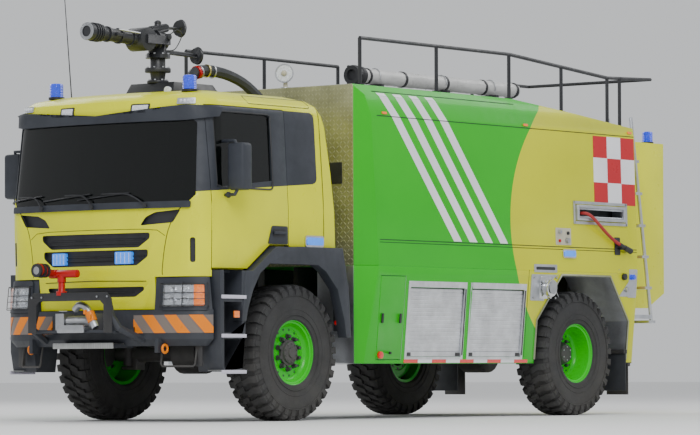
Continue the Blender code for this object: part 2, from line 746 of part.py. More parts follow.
def make_bumper():
    """The bumper follows the cab's plan. Its ends rise beside the grille as the headlight housings."""
    plan = (CAB_HALF_WIDTH + 0.055, CAB_FRONT_Y - 0.02, 1.0, 0.36)
    inner = plan_outline(*plan, BUMPER_DEPTH)
    bar = loft(
        "bumper",
        [
            (BUMPER_LOW, plan_outline(*plan, 0.05)),
            (BUMPER_LOW + 0.06, plan_outline(*plan)),
            (BUMPER_TOP, plan_outline(*plan)),
        ],
    )
    tower_foot = (BUMPER_TOP - 0.05, plan_outline(*plan, 0.004))
    towers = loft("towers", [tower_foot, (HEADLIGHT_TOP, plan_outline(*plan, 0.035))])
    towers = cut(towers, [box("middle", (-HEADLIGHT_X, -2.0, BUMPER_TOP), (HEADLIGHT_X, 2.0, 1.5))])
    bar = joined("bumper", [bar, towers])
    hollow = loft("hollow", [(0.5, inner), (1.5, inner)])
    rear = box("rear", (-2, DOOR_FRONT_Y - RUNNING * 4, 0.5), (2, 2, 1.5))
    bar = cut(bar, [hollow, rear])
    backing_low = (-0.55, CAB_FRONT_Y + 0.05, BUMPER_LOW + 0.08)
    backing = box("backing", backing_low, (0.55, RAIL_FRONT_Y - GAP, BUMPER_TOP - 0.03))
    pieces = [bar, backing]
    # The bull bar: a top bar on two legs that sweep back under the bumper
    bar_half = 0.42
    leg_y = BULL_BAR_Y
    tray_rear = CAB_FRONT_Y + 0.02
    for side in (1, -1):
        leg = [
            (side * 0.58, CAB_FRONT_Y + 0.02, BUMPER_LOW + 0.05),
            (side * 0.52, leg_y + 0.03, BUMPER_LOW + 0.16),
            (side * 0.46, leg_y, 0.94),
            (side * bar_half, leg_y, BULL_BAR_Z - 0.03),
            (side * (bar_half - 0.04), leg_y, BULL_BAR_Z),
            (0.0, leg_y, BULL_BAR_Z),
        ]
        pieces.append(tube("leg", leg, 0.035, 1))
    pieces.append(box("winch_tray", (-0.40, leg_y + 0.01, TRAY_Z - 0.025), (0.40, tray_rear, TRAY_Z)))
    for x in (-0.44, 0.44):
        web_low = (x - 0.05, leg_y + 0.02, TRAY_Z - 0.03)
        pieces.append(box("tray_web", web_low, (x + 0.05, tray_rear, TRAY_Z + 0.005)))
    pieces.append(box("tread", (-0.36, CAB_FRONT_Y - 0.12, 0.665), (0.36, CAB_FRONT_Y + 0.14, 0.70)))
    for side in (1, -1):
        x = side * 0.75
        pieces.append(box("tow_eye", (x - 0.02, CAB_FRONT_Y, 0.62), (x + 0.02, CAB_FRONT_Y + 0.14, 0.75)))
    return joined("front_bumper", pieces)


def make_winch():
    tray = TRAY_Z + GAP
    y0, y1 = BULL_BAR_Y + 0.05, BULL_BAR_Y + 0.19
    drum_y, drum_z = (y0 + y1) / 2, tray + 0.075
    drum = rod("winch", (-0.17, drum_y, drum_z), (0.17, drum_y, drum_z), 0.045, 16)
    ends = [box("end", (min(x), y0, tray), (max(x), y1, tray + 0.15)) for x in ((-0.25, -0.15), (0.15, 0.21))]
    bars = [box("bar", (-0.20, y0 + 0.01, tray), (0.20, y0 + 0.03, tray + 0.03))]
    return joined("winch", [drum, *ends, *bars])


NOZZLE_X = -0.13
SMALL_BASE_Z = BULL_BAR_Z + 0.035
SMALL_TURN_Z = SMALL_BASE_Z + 0.10
SMALL_TILT_Z = 1.33


def make_bumper_monitor():
    """A small red monitor on the bull bar: a fixed riser, a turning elbow and a tilting nozzle."""
    x, y = NOZZLE_X, BULL_BAR_Y
    riser = rod("riser", (x, y, SMALL_BASE_Z - 0.012), (x, y, SMALL_TURN_Z), 0.032, 12)
    flange = rod("flange", (x, y, SMALL_BASE_Z - 0.02), (x, y, SMALL_BASE_Z + 0.02), 0.05, 12)
    base = joined("bumper_monitor_base", [riser, flange])
    base = cut(base, [tube("bar", [(-0.4, y, BULL_BAR_Z), (0.4, y, BULL_BAR_Z)], 0.035 + GAP * 3, 1)])
    turn = SMALL_TURN_Z + GAP
    body = rod("body", (x, y, turn), (x, y, SMALL_TILT_Z - 0.01), 0.04, 12)
    cross = rod("cross", (x - 0.05, y, SMALL_TILT_Z), (x + 0.19, y, SMALL_TILT_Z), 0.035, 12)
    body = joined("bumper_monitor_body", [body, cross])
    near = x - 0.05 - GAP
    swivel = rod("swivel", (near, y, SMALL_TILT_Z), (near - 0.08, y, SMALL_TILT_Z), 0.04, 12)
    barrel_end = (near - 0.04, y - 0.16, SMALL_TILT_Z + 0.03)
    barrel = rod("barrel", (near - 0.04, y, SMALL_TILT_Z), barrel_end, 0.034, 12)
    tip_start = (near - 0.04, y - 0.12, SMALL_TILT_Z + 0.0225)
    tip = cone("tip", tip_start, (near - 0.04, y - 0.225, SMALL_TILT_Z + 0.042), 0.05, 0.055, 12)
    nozzle = joined("bumper_monitor_nozzle", [swivel, barrel, tip])
    return [base, body, nozzle]


STEP_FRONT_Y = -1.15
STEP_REAR_Y = -0.80
FENDER_X = CAB_HALF_WIDTH + 0.07
STEP_INNER_X = CAB_HALF_WIDTH - 0.23
TREADS = (0.45, 0.76, 1.09)
TREAD = 0.035


def make_fenders():
    """The wheel arch and, ahead of it, the entry steps."""
    top = CAB_FLOOR_LOW - GAP
    sill = DOOR_SILL - 0.01
    arch = (
        (ARCH_FOOT_Y - 0.10, sill),
        (ARCH_FOOT_Y - 0.005, sill),
        (ARCH_HEAD_Y - 0.005, top - 0.012),
        (ARCH_HEAD_Y + 0.05, top - RUNNING),
        (DOOR_REAR_Y + 0.03, top - RUNNING),
        (DOOR_REAR_Y + 0.05, top),
        (CAB_REAR_Y - 0.03, top),
        (CAB_REAR_Y + 0.06, 1.20),
        (CAB_REAR_Y + 0.09, 0.76),
        (CAB_REAR_Y + 0.02, 0.76),
        (CAB_REAR_Y - 0.01, 0.92),
        (CAB_REAR_Y - 0.11, 1.20),
        (0.36, 1.36),
        (0.24, 1.42),
        (-0.46, 1.42),
        (-0.60, 1.33),
        (-0.70, 1.18),
        (STEP_REAR_Y + 0.03, 1.02),
        (STEP_REAR_Y, 0.90),
        (STEP_REAR_Y - 0.06, 0.90),
    )
    ring = slab("fender", arch, "X", FENDER_X - 0.105, FENDER_X)
    steps = slab(
        "steps",
        (
            (STEP_FRONT_Y, 0.64),
            (STEP_FRONT_Y + 0.04, TREADS[0]),
            (STEP_REAR_Y - 0.05, TREADS[0]),
            (STEP_REAR_Y, 0.80),
            (STEP_REAR_Y, sill),
            (STEP_FRONT_Y, sill),
        ),
        "X",
        STEP_INNER_X,
        FENDER_X - 0.01,
    )
    recesses = []
    for low, high in zip(TREADS, (*TREADS[1:], sill + 0.02)):
        near = (STEP_INNER_X + 0.09, STEP_FRONT_Y + 0.05, low + TREAD)
        recesses.append(box("recess", near, (1.6, STEP_REAR_Y - 0.05, high - 0.02)))
    steps = cut(steps, recesses)
    lug_low = (STEP_INNER_X + 0.01, STEP_FRONT_Y + 0.03, sill - 0.02)
    lug = box("lug", lug_low, (STEP_INNER_X + 0.15, STEP_REAR_Y - 0.01, DOOR_SILL - GAP))
    return both_sides(joined("fender", [ring, steps, lug]), "fender_and_steps")


# Roof monitor, hose and antenna


BALL_RADIUS = 0.108
BALL_HALF_WIDTH = 0.10
HAND_WHEEL = 0.075


def make_roof_monitor():
    """A water cannon: a plinth and column, a turning head with hand wheels and a tilting barrel."""
    y = MONITOR_Y
    low = CAB_TOP + GAP
    plinth = loft(
        "plinth",
        [
            (low, [(-0.30, -0.66), (0.30, -0.66), (0.30, 0.06), (-0.30, 0.06)]),
            (low + 0.13, [(-0.26, -0.60), (0.26, -0.60), (0.26, -0.04), (-0.26, -0.04)]),
        ],
    )
    column = cone("column", (0, y, low + 0.10), (0, y, MONITOR_TURN_Z - 0.12), 0.055, 0.075, 16)
    upper = rod("upper", (0, y, MONITOR_TURN_Z - 0.14), (0, y, MONITOR_TURN_Z), 0.07, 16)
    flange = rod("flange", (0, y, MONITOR_TURN_Z - 0.13), (0, y, MONITOR_TURN_Z - 0.09), 0.12, 16)
    base = joined("roof_monitor_base", [plinth, column, upper, flange])
    turn = MONITOR_TURN_Z + GAP
    ring = rod("ring", (0, y, turn), (0, y, turn + 0.035), 0.115, 16)
    cy, cz = MONITOR_TILT_Y, MONITOR_TILT_Z
    neck = rod("neck", (0, y, turn + 0.02), (0, y - 0.02, cz), 0.085, 16)
    elbow = rod("elbow", (0, y + 0.07, cz), (0, cy + BALL_RADIUS + RUNNING, cz), 0.085, 16)
    gear = rod("gear", (0.0, cy + 0.13, cz + 0.09), (0.0, y + 0.12, cz + 0.13), 0.04, 12)
    top_stem = rod("top_stem", (0, y + 0.08, cz + 0.125), (0, y + 0.32, cz + 0.14), 0.014, 8)
    top_wheel = rod("top_wheel", (0, y + 0.30, cz + 0.14), (0, y + 0.325, cz + 0.14), HAND_WHEEL, 16)
    low_z = turn + 0.05
    low_stem = rod("low_stem", (0.06, y, low_z + 0.01), (0.06, y + 0.48, low_z), 0.022, 10)
    low_wheel = rod("low_wheel", (0.06, y + 0.47, low_z), (0.06, y + 0.495, low_z), HAND_WHEEL, 16)
    ears = []
    for side in (1, -1):
        near, far = sorted((side * (BALL_HALF_WIDTH + GAP), side * (BALL_HALF_WIDTH + 0.022)))
        ears.append(box("ear", (near, cy - 0.035, cz - 0.04), (far, y + 0.04, cz + 0.04)))
    reach = BALL_HALF_WIDTH + 0.01
    brace = box("brace", (-reach, y - 0.035, cz - 0.03), (reach, y + 0.035, cz + 0.03))
    pieces = [ring, neck, elbow, gear, top_stem, top_wheel, low_stem, low_wheel, brace, *ears]
    head = joined("roof_monitor_head", pieces)
    ball = rod("ball", (-BALL_HALF_WIDTH, cy, cz), (BALL_HALF_WIDTH, cy, cz), BALL_RADIUS, 20)
    barrel = rod("barrel", (0, cy - 0.02, cz), (0, cy - 0.58, cz + 0.02), 0.062, 16)
    tip = cone("tip", (0, cy - 0.56, cz + 0.019), (0, cy - 0.74, cz + 0.025), 0.068, 0.082, 16)
    barrel = joined("roof_monitor_barrel", [ball, barrel, tip])
    return [base, head, barrel]


def smooth_route(points, steps):
    """Catmull-Rom points through a few chosen ones."""
    route = []
    padded = [points[0], *points, points[-1]]
    for a, b, c, d in zip(padded, padded[1:], padded[2:], padded[3:]):
        for i in range(steps):
            t = i / steps
            place = []
            for p, q, r, s in zip(a, b, c, d):
                square = 2 * p - 5 * q + 4 * r - s
                cube = 3 * q - p - 3 * r + s
                place.append(0.5 * (2 * q + (r - p) * t + square * t**2 + cube * t**3))
            route.append(tuple(place))
    route.append(tuple(points[-1]))
    return route


SUPPLY_HOSE = (
    (0.10, -0.17, CAB_TOP + 0.13 + 2 * GAP),
    (0.10, -0.17, CAB_TOP + 0.17),
    (0.10, -0.12, 3.215),
    (0.11, 0.02, 3.245),
    (0.14, 0.26, 3.23),
    (0.18, 0.48, 3.16),
    (0.21, 0.65, 3.05),
    (0.23, 0.78, 2.94),
    (0.23, 0.90, 2.90),
    (0.23, BODY_FRONT_Y - GAP, 2.90),
)


def make_supply_hose():
    route = [SUPPLY_HOSE[0], *smooth_route(SUPPLY_HOSE[1:-1], 3), SUPPLY_HOSE[-1]]
    return tube("roof_supply_hose", route, 0.052, 2)


ANTENNA_FOOT = (0.18 - CAB_HALF_WIDTH, -0.56, 2.9)


def make_antenna():
    x, y, z = ANTENNA_FOOT
    whip = cone("whip", (x, y, z + 0.05), (x - 0.07, y - 0.03, 4.02), 0.006, 0.004, 6)
    foot = cone("foot", (x, y, z - 0.1), (x, y, z + 0.09), 0.022, 0.014, 10)
    antenna = joined("whip_antenna", [whip, foot])
    return cut(antenna, [cab_solid("skin", -GAP, 2.6, CAB_TOP)])


# Body


def body_x(z):
    """The body side's distance from the middle at a height."""
    points = ((SKIRT_Z, SKIRT_X), (CREASE_Z, BODY_CREASE_X), (SEAM_Z, SEAM_X), (BODY_TOP_Z, BODY_TOP_X))
    for (z0, x0), (z1, x1) in zip(points, points[1:]):
        if z <= z1:
            return x0 + (x1 - x0) * (z - z0) / (z1 - z0)
    return BODY_TOP_X


def corner_chamfers():
    cutters = []
    for side in (1, -1):
        y = BODY_FRONT_Y
        outline = [
            (side * (SEAM_X + 0.02 - CHAMFER_DEPTH), y - 0.01),
            (side * (SEAM_X + 0.04), y + CHAMFER_LENGTH),
            (side * 1.6, y + CHAMFER_LENGTH),
            (side * 1.6, y - 0.01),
        ]
        cutters.append(slab("chamfer", outline, "Z", 0.3, 3.4))
    return cutters


def shutter_outline(low, high, front, back):
    """The sloping shutter's section, from its outer face to its inner one."""
    return (
        (body_x(low) - front, low),
        (body_x(high) - front, high),
        (body_x(high) - back, high),
        (body_x(low) - back, low),
    )


def shutter_pockets(clearance):
    """Room for each shutter at rest and on its way up behind the side."""
    cutters = []
    for y in SHUTTER_Y:
        low_x = body_x(SHUTTER_LOW) - SHUTTER_RECESS - SHUTTER_THICK - clearance
        high_x = body_x(SHUTTER_HIGH) - SHUTTER_RECESS + clearance
        top = SHUTTER_HIGH + SHUTTER_TRAVEL + clearance
        side_y = y - clearance, y + SHUTTER_WIDTH + clearance
        for side in (1, -1):
            near, far = sorted((side * low_x, side * high_x))
            cutters.append(box("pocket", (near, side_y[0], SHUTTER_HIGH - 0.05), (far, side_y[1], top)))
    return cutters


HOSE_SLOT_Y = (BODY_REAR_Y - 1.10, BODY_REAR_Y - 0.23)
HOSE_SLOT_Z = (1.955, 2.11)


def make_upper_body():
    """The tank and its side panels above the crease, one solid hull."""
    outline = []
    for side in (1, -1):
        corner = [
            (side * BODY_CREASE_X, CREASE_Z),
            (side * SEAM_X, SEAM_Z),
            (side * (SEAM_X - 0.035), BODY_TOP_Z - 0.10),
            (side * BODY_TOP_X, BODY_TOP_Z),
        ]
        outline += corner if side > 0 else corner[::-1]
    body = slab("upper_body", outline, "Y", BODY_FRONT_Y, BODY_REAR_Y)
    slope = (
        (ROOF_BREAK_Y, BODY_TOP_Z),
        (BODY_REAR_Y + 0.1, ROOF_REAR_Z - 0.01),
        (BODY_REAR_Y + 0.1, BODY_TOP_Z + 0.2),
        (ROOF_BREAK_Y, BODY_TOP_Z + 0.2),
    )
    cutters = [slab("slope", slope, "X", -1.5, 1.5), *corner_chamfers(), *shutter_pockets(RUNNING)]
    low = (SEAM_X - 0.14, HOSE_SLOT_Y[0], HOSE_SLOT_Z[0])
    cutters.append(box("hose_slot", low, (1.5, HOSE_SLOT_Y[1], HOSE_SLOT_Z[1])))
    body = cut(body, cutters)
    body.name = "upper_body"
    return body


def rear_arch(grow):
    """The hexagonal wheel arch's outline, open at the bottom."""
    middle = WHEELBASE + REAR_ARCH_OFFSET
    return [
        (middle - REAR_ARCH_WIDTH / 2 - grow, 0.3),
        (middle - REAR_ARCH_WIDTH / 2 - grow, REAR_ARCH_SHOULDER),
        (middle - REAR_ARCH_FLAT / 2 - 0.6 * grow, REAR_ARCH_TOP + grow),
        (middle + REAR_ARCH_FLAT / 2 + 0.6 * grow, REAR_ARCH_TOP + grow),
        (middle + REAR_ARCH_WIDTH / 2 + grow, REAR_ARCH_SHOULDER),
        (middle + REAR_ARCH_WIDTH / 2 + grow, 0.3),
    ]


def make_lower_body():
    """One side's lockers below the crease, the wheel arch and the mud flap behind it."""
    outline = (
        (LOCKER_INNER_X, SKIRT_Z + 0.02),
        (SKIRT_X, SKIRT_Z),
        (BODY_CREASE_X, CREASE_Z - GAP),
        (LOCKER_INNER_X, CREASE_Z - GAP),
    )
    body = slab("lower_body", outline, "Y", BODY_FRONT_Y, BODY_REAR_Y)
    cutters = [slab("arch", rear_arch(0.0), "X", 0.6, 1.5), corner_chamfers_left()]
    inner = LOCKER_INNER_X + LOCKER_WALL
    for y in SHUTTER_Y:
        cutters.append(box("locker", (inner, y, SHUTTER_LOW), (1.5, y + SHUTTER_WIDTH, SHUTTER_HIGH)))
        track_in = body_x(SHUTTER_LOW) - SHUTTER_RECESS - SHUTTER_THICK - RUNNING
        track_out = body_x(SHUTTER_HIGH) - SHUTTER_RECESS + RUNNING
        track_end = (track_out, y + SHUTTER_WIDTH + RUNNING, 1.6)
        cutters.append(box("track", (track_in, y - RUNNING, SHUTTER_HIGH - 0.05), track_end))
    margin = 0.03
    cutters.append(
        box(
            "front_locker",
            (inner, LOCKER_DOOR_Y[0] + margin, LOCKER_DOOR_Z[0] + margin),
            (1.5, LOCKER_DOOR_Y[1] - margin, LOCKER_DOOR_Z[1] - margin),
        )
    )
    cutters.append(locker_door_solid(RUNNING, -0.02, GAP))
    body = cut(body, cutters)
    rear = BODY_REAR_Y
    flap = box("flap", (0.90, rear - 0.045, 0.20), (SKIRT_X - 0.02, rear - 0.03, SKIRT_Z + 0.05))
    bracket_low = (0.88, rear - 0.06, SKIRT_Z - 0.03)
    bracket = box("bracket", bracket_low, (SKIRT_X - 0.01, rear - 0.01, SKIRT_Z + 0.06))
    body = joined("lower_body", [body, bracket, flap])
    return both_sides(body, "lower_body")


def corner_chamfers_left():
    left, right = corner_chamfers()
    bpy.data.objects.remove(right)
    return left


def locker_door_solid(grow, out, behind=0.0):
    """The front locker's door, flush with the sloping side, or the space it needs."""
    low, high = LOCKER_DOOR_Z[0] - grow, LOCKER_DOOR_Z[1] + grow
    section = shutter_outline(low, high, out, LOCKER_DOOR_THICK + behind)
    return slab("locker_door", section, "Y", LOCKER_DOOR_Y[0] - grow, LOCKER_DOOR_Y[1] + grow)


def make_locker_doors():
    """A flush door with a hinge rod along its front edge, both leaning with the side."""
    door = locker_door_solid(0.0, 0.0)
    y = LOCKER_DOOR_Y[0]
    ends = [(body_x(z) - LOCKER_HINGE_DEPTH, y, z) for z in LOCKER_DOOR_Z]
    hinge = rod("hinge", *ends, RUNNING - GAP, 12)
    return both_sides(joined("locker_door", [door, hinge]), "locker_door")


def make_shutters():
    """Roller shutters over the side lockers, each one slatted curtain with a pull bar."""
    pieces = []
    for place, y in zip(("front", "rear"), SHUTTER_Y):
        low, high = SHUTTER_LOW + GAP, SHUTTER_HIGH - 0.002
        section = shutter_outline(low, high, SHUTTER_RECESS, SHUTTER_RECESS + SHUTTER_THICK)
        curtain = slab("shutter", section, "Y", y + RUNNING, y + SHUTTER_WIDTH - RUNNING)
        pieces += both_sides(curtain, f"{place}_shutter")
    return pieces


def make_pump_box():
    """The rear compartment: walls, floor and roof round a hollow with a flap door at the back."""
    y0, y1 = BODY_REAR_Y + GAP, WHEELBASE + REAR_OVERHANG - REAR_DOOR_THICK - GAP
    profile = (
        (y0, PUMP_BOX_LOW),
        (y1 - 0.32, PUMP_BOX_LOW),
        (y1, PUMP_BOX_LOW + 0.16),
        (y1, PUMP_BOX_TOP),
        (y0, PUMP_BOX_TOP),
    )
    case = slab("pump_box", profile, "X", -PUMP_BOX_X, PUMP_BOX_X)
    wall = PUMP_BOX_WALL
    hollow = box(
        "hollow",
        (-PUMP_BOX_X + wall, y0 + 0.45, PUMP_BOX_LOW + 0.20),
        (PUMP_BOX_X - wall, y1 + 0.1, PUMP_BOX_TOP - wall),
    )
    case = cut(case, [hollow])
    frame_slots = box("frame_slot", (-0.46, y0 - 0.1, 0.9), (0.46, BODY_REAR_Y + 0.52, RAIL_HIGH + GAP))
    case = cut(case, [frame_slots])
    case.name = "pump_box"
    margin = 0.02
    door = box(
        "rear_door",
        (-PUMP_BOX_X + margin, y1 + GAP, PUMP_BOX_LOW + 0.19),
        (PUMP_BOX_X - margin, y1 + GAP + REAR_DOOR_THICK, PUMP_BOX_TOP - margin),
    )
    return [case, door]


LADDER_X = (0.86, 1.14)
LADDER_Y = (BODY_REAR_Y + 0.07, BODY_REAR_Y + 0.46)
LADDER_Z = (3.05, 0.82)  # where LADDER_Y is measured
LADDER_STEPS = (0.95, 1.30, 1.62, 1.94, 2.27, 2.60)
LADDER_BRACKETS = (1.0, 2.75)
TREAD_HALF = 0.014


def ladder_y(z):
    """How far back the ladder's rails are at a height."""
    share = (z - LADDER_Z[1]) / (LADDER_Z[0] - LADDER_Z[1])
    return LADDER_Y[1] + (LADDER_Y[0] - LADDER_Y[1]) * share


def make_ladder():
    """Two side rails that lean out towards the foot, joined by flat treads, on brackets from the body."""
    foot_z = LADDER_STEPS[0] - TREAD_HALF
    pieces = []
    for x in LADDER_X:
        line = [(x, ladder_y(foot_z), foot_z), (x, LADDER_Y[0], LADDER_Z[0])]
        pieces.append(tube("ladder_rail", line, 0.019, 2))
    for z in LADDER_STEPS:
        y = ladder_y(z)
        low = (LADDER_X[0] - 0.01, y - 0.06, z - TREAD_HALF)
        pieces.append(box("tread", low, (LADDER_X[1] + 0.01, y + 0.06, z + TREAD_HALF)))
    for z in LADDER_BRACKETS:
        for x in LADDER_X:
            low = (x - 0.014, BODY_REAR_Y + GAP, z - 0.02)
            pieces.append(box("bracket", low, (x + 0.014, ladder_y(z), z + 0.02)))
    return joined("rear_ladder", pieces)


# Roof rails. Each post is (distance behind the front axle, height of its foot).


def roof_z(y):
    """The body roof's height at a distance behind the front axle."""
    if y <= ROOF_BREAK_Y:
        return BODY_TOP_Z
    share = (y - ROOF_BREAK_Y) / (BODY_REAR_Y + 0.1 - ROOF_BREAK_Y)
    return BODY_TOP_Z + (ROOF_REAR_Z - 0.01 - BODY_TOP_Z) * share


RAIL_INSET_X = 1.09
LEFT_POSTS = (1.11, 2.32, ROOF_BREAK_Y + 0.01, BODY_REAR_Y - 1.12, BODY_REAR_Y - 0.29)
RIGHT_POSTS = (1.18, 2.39, ROOF_BREAK_Y + 0.07)
LOOP_REAR_Y = BODY_REAR_Y + 0.52
LOOP_END = (-0.45, BODY_REAR_Y - 0.56)


def rail_height(y):
    if y <= ROOF_BREAK_Y:
        return ROOF_RAIL_Z
    return ROOF_RAIL_Z - 0.075 * (y - ROOF_BREAK_Y)


def make_rail(name, posts, side):
    x = side * RAIL_INSET_X
    line = [(x, y, rail_height(y)) for y in posts]
    pieces = [tube(name, line, RAIL_TUBE, 1)]
    for y in posts:
        foot = roof_z(y - 0.03) + GAP
        pieces.append(rod("post", (x, y, foot), (x, y, rail_height(y)), RAIL_TUBE * 0.96, 8))
        pieces.append(box("foot", (x - 0.03, y - 0.03, foot), (x + 0.03, y + 0.03, foot + 0.012)))
    if side > 0:
        start_y = posts[-1]
        z = rail_height(start_y)
        corners = ((x, LOOP_REAR_Y), (LOOP_END[0], LOOP_REAR_Y), LOOP_END)
        loop = [(x, start_y, z)] + [(u, v, z + 0.03) for u, v in corners]
        pieces.append(tube("loop", loop, RAIL_TUBE, 1))
        for px, py in ((LOOP_END[0], LOOP_END[1] + 0.05), (x, BODY_REAR_Y - 0.06)):
            foot = roof_z(py - RAIL_TUBE) + GAP
            pieces.append(rod("post", (px, py, foot), (px, py, z + 0.02), RAIL_TUBE * 0.96, 8))
    return joined(name, pieces)


def make_rails():
    return [make_rail("roof_rail_left", LEFT_POSTS, 1), make_rail("roof_rail_right", RIGHT_POSTS, -1)]


STOWED_X = 0.62
STOWED_Y = (1.75, 4.30)
STOWED_RADIUS = 0.075


def make_stowed_hose():
    """A wrapped suction hose on three cradles on the roof."""
    z = BODY_TOP_Z + 0.145
    y0, y1 = STOWED_Y
    hose = rod("stowed", (STOWED_X, y0, z), (STOWED_X, y1, z), STOWED_RADIUS, 16)
    coupling = rod("coupling", (STOWED_X, y0 - 0.16, z), (STOWED_X, y0 + 0.01, z), STOWED_RADIUS + 0.02, 16)
    pieces = [hose, coupling]
    for y in (y0 + 0.2, (y0 + y1) / 2, y1 - 0.45):
        foot = roof_z(y - 0.03) + GAP
        pieces.append(box("cradle", (STOWED_X - 0.11, y - 0.03, foot), (STOWED_X + 0.11, y + 0.03, z - 0.03)))
    return joined("stowed_suction_hose", pieces)


INLET = (WHEELBASE - 0.59, 1.27)
INLET_RADIUS = 0.085


def make_inlets():
    """A round tank inlet with a capped flange, low on each side."""
    y, z = INLET
    x = body_x(z) + GAP
    plate = box("plate", (x, y - 0.10, z - 0.11), (x + 0.012, y + 0.10, z + 0.11))
    # The plate leans with the side.
    lean = math.atan2(BODY_CREASE_X - SKIRT_X, CREASE_Z - SKIRT_Z)
    body = rod("inlet_body", (x + 0.005, y, z), (x + 0.075, y, z), INLET_RADIUS - 0.015, 20)
    cap = rod("cap", (x + 0.045, y, z), (x + 0.09, y, z), INLET_RADIUS, 20)
    inlet = joined("tank_inlet", [plate, body, cap])
    turn = Matrix.Translation((x, y, z)) @ Matrix.Rotation(lean, 4, "Y") @ Matrix.Translation((-x, -y, -z))
    inlet.data.transform(turn)
    return both_sides(inlet, "tank_inlet")


def make_hose_guide():
    """The frame and rollers round the hose slot, let into the left side."""
    y0, y1 = HOSE_SLOT_Y
    z0, z1 = HOSE_SLOT_Z
    low = (SEAM_X - 0.10, y0 + GAP, z0 + GAP)
    outer = box("hose_guide", low, (BODY_CREASE_X + 0.012, y1 - GAP, z1 - GAP))
    opening = box("opening", (1.0, y0 + 0.03, z0 + 0.025), (1.4, y1 - 0.03, z1 - 0.025))
    guide = cut(outer, [opening])
    rollers = [
        rod("roller", (BODY_CREASE_X - 0.025, y0 + 0.01, z), (BODY_CREASE_X - 0.025, y1 - 0.01, z), 0.014, 10)
        for z in (z0 + 0.034, z1 - 0.034)
    ]
    return joined("hose_guide", [guide, *rollers])


HOSE_RADIUS = 0.0165
HOSE_ROUTE = (
    (SEAM_X - 0.14 + GAP, 4.585, 2.030),
    (1.235, 4.585, 2.030),
    (1.285, 4.610, 2.022),
    (1.305, 4.680, 1.985),
    (1.300, 4.790, 1.925),
    (1.292, 4.900, 1.865),
    (1.288, 5.010, 1.805),
    (1.290, 5.110, 1.755),
    (1.294, 5.180, 1.728),
)


def make_side_hose():
    """The free end of the reel hose, hanging from its slot to the nozzle in its clip."""
    route = [HOSE_ROUTE[0], *smooth_route(HOSE_ROUTE[1:], 3)]
    return tube_curve("side_hose", route, HOSE_RADIUS, 2)


def make_hose_nozzle():
    line = (Vector(HOSE_ROUTE[-1]) - Vector(smooth_route(HOSE_ROUTE[1:], 3)[-2])).normalized()
    start = Vector(HOSE_ROUTE[-1]) + line * GAP
    body = rod("hose_nozzle", start, start + line * 0.10, 0.021, 12)
    tip = cone("tip", start + line * 0.09, start + line * 0.20, 0.026, 0.031, 12)
    middle = start + line * 0.05
    x = body_x(middle.z - 0.035) + GAP
    clip = box("clip", (x, middle.y - 0.02, middle.z - 0.035), (middle.x, middle.y + 0.02, middle.z + 0.02))
    return joined("hose_nozzle", [body, tip, clip])


# Putting it together

PAINTS = {
    "yellow": ((0.56, 0.62, 0.03), 0.25, 0.0),
    "green": ((0.05, 0.50, 0.06), 0.25, 0.0),
    "black": ((0.02, 0.02, 0.025), 0.5, 0.0),
    "grey": ((0.09, 0.10, 0.11), 0.6, 0.0),
    "steel": ((0.55, 0.56, 0.58), 0.35, 1.0),
    "red": ((0.60, 0.03, 0.02), 0.4, 0.0),
    "white": ((0.75, 0.76, 0.76), 0.4, 0.0),
    "rubber": ((0.03, 0.03, 0.03), 0.8, 0.0),
    "fabric": ((0.05, 0.05, 0.06), 0.9, 0.0),
    "glass": ((0.02, 0.03, 0.03), 0.05, 0.0),
}

COLOURS = {
    "wheel": "rubber",
    "cab_shell": "yellow",
    "cab_door": "yellow",
    "window": "glass",
    "windshield": "glass",
    "seat": "fabric",
    "fender": "grey",
    "bumper": "grey",
    "winch": "steel",
    "body": "green",
    "locker_door": "green",
    "shutter": "steel",
    "pump_box": "yellow",
    "rear_door": "yellow",
    "inlet": "steel",
    "guide": "steel",
    "side_hose": "red",
    "bumper_monitor": "red",
    "roof": "black",
    "stowed": "white",
}


def colour_parts(parts):
    materials = {name: paint(name, *look) for name, look in PAINTS.items()}
    for part in parts:
        chosen = "black"
        for word, colour in COLOURS.items():
            if word in part.name:
                chosen = colour
        part.data.materials.clear()
        part.data.materials.append(materials[chosen])


def main():
    clear_scene()
    new_collection(PARTS)
    make_wheels()
    make_front_axle()
    make_knuckles()
    make_rear_axle()
    make_chassis()
    make_driveline()
    make_cab_shell()
    make_windshield()
    make_doors()
    make_mirrors()
    make_dashboard()
    make_steering_wheel()
    make_seats()
    make_bumper()
    make_winch()
    make_bumper_monitor()
    make_fenders()
    make_roof_monitor()
    make_supply_hose()
    make_antenna()
    make_upper_body()
    make_lower_body()
    make_locker_doors()
    make_shutters()
    make_pump_box()
    make_ladder()
    make_rails()
    make_stowed_hose()
    make_inlets()
    make_hose_guide()
    make_side_hose()
    make_hose_nozzle()
    parts = list(bpy.data.collections[PARTS].objects)
    colour_parts(parts)
    datum = bpy.data.objects.new("front_axle_datum", None)
    bpy.context.scene.collection.objects.link(datum)
    datum.location = (0.0, -(WHEELBASE + REAR_OVERHANG - FRONT_OVERHANG) / 2, 0.0)
    for part in parts:
        part.parent = datum


main()
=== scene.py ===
"""Looks of the airport fire truck: paint, glass, lamps, tyres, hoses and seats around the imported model.

Places are (left, behind the front axle, up) in metres. done() moves them into the model's frame.
"""

import json
import math

import bmesh
import bpy
import numpy as np
from mathutils import Matrix, Quaternion, Vector
from mathutils.bvhtree import BVHTree

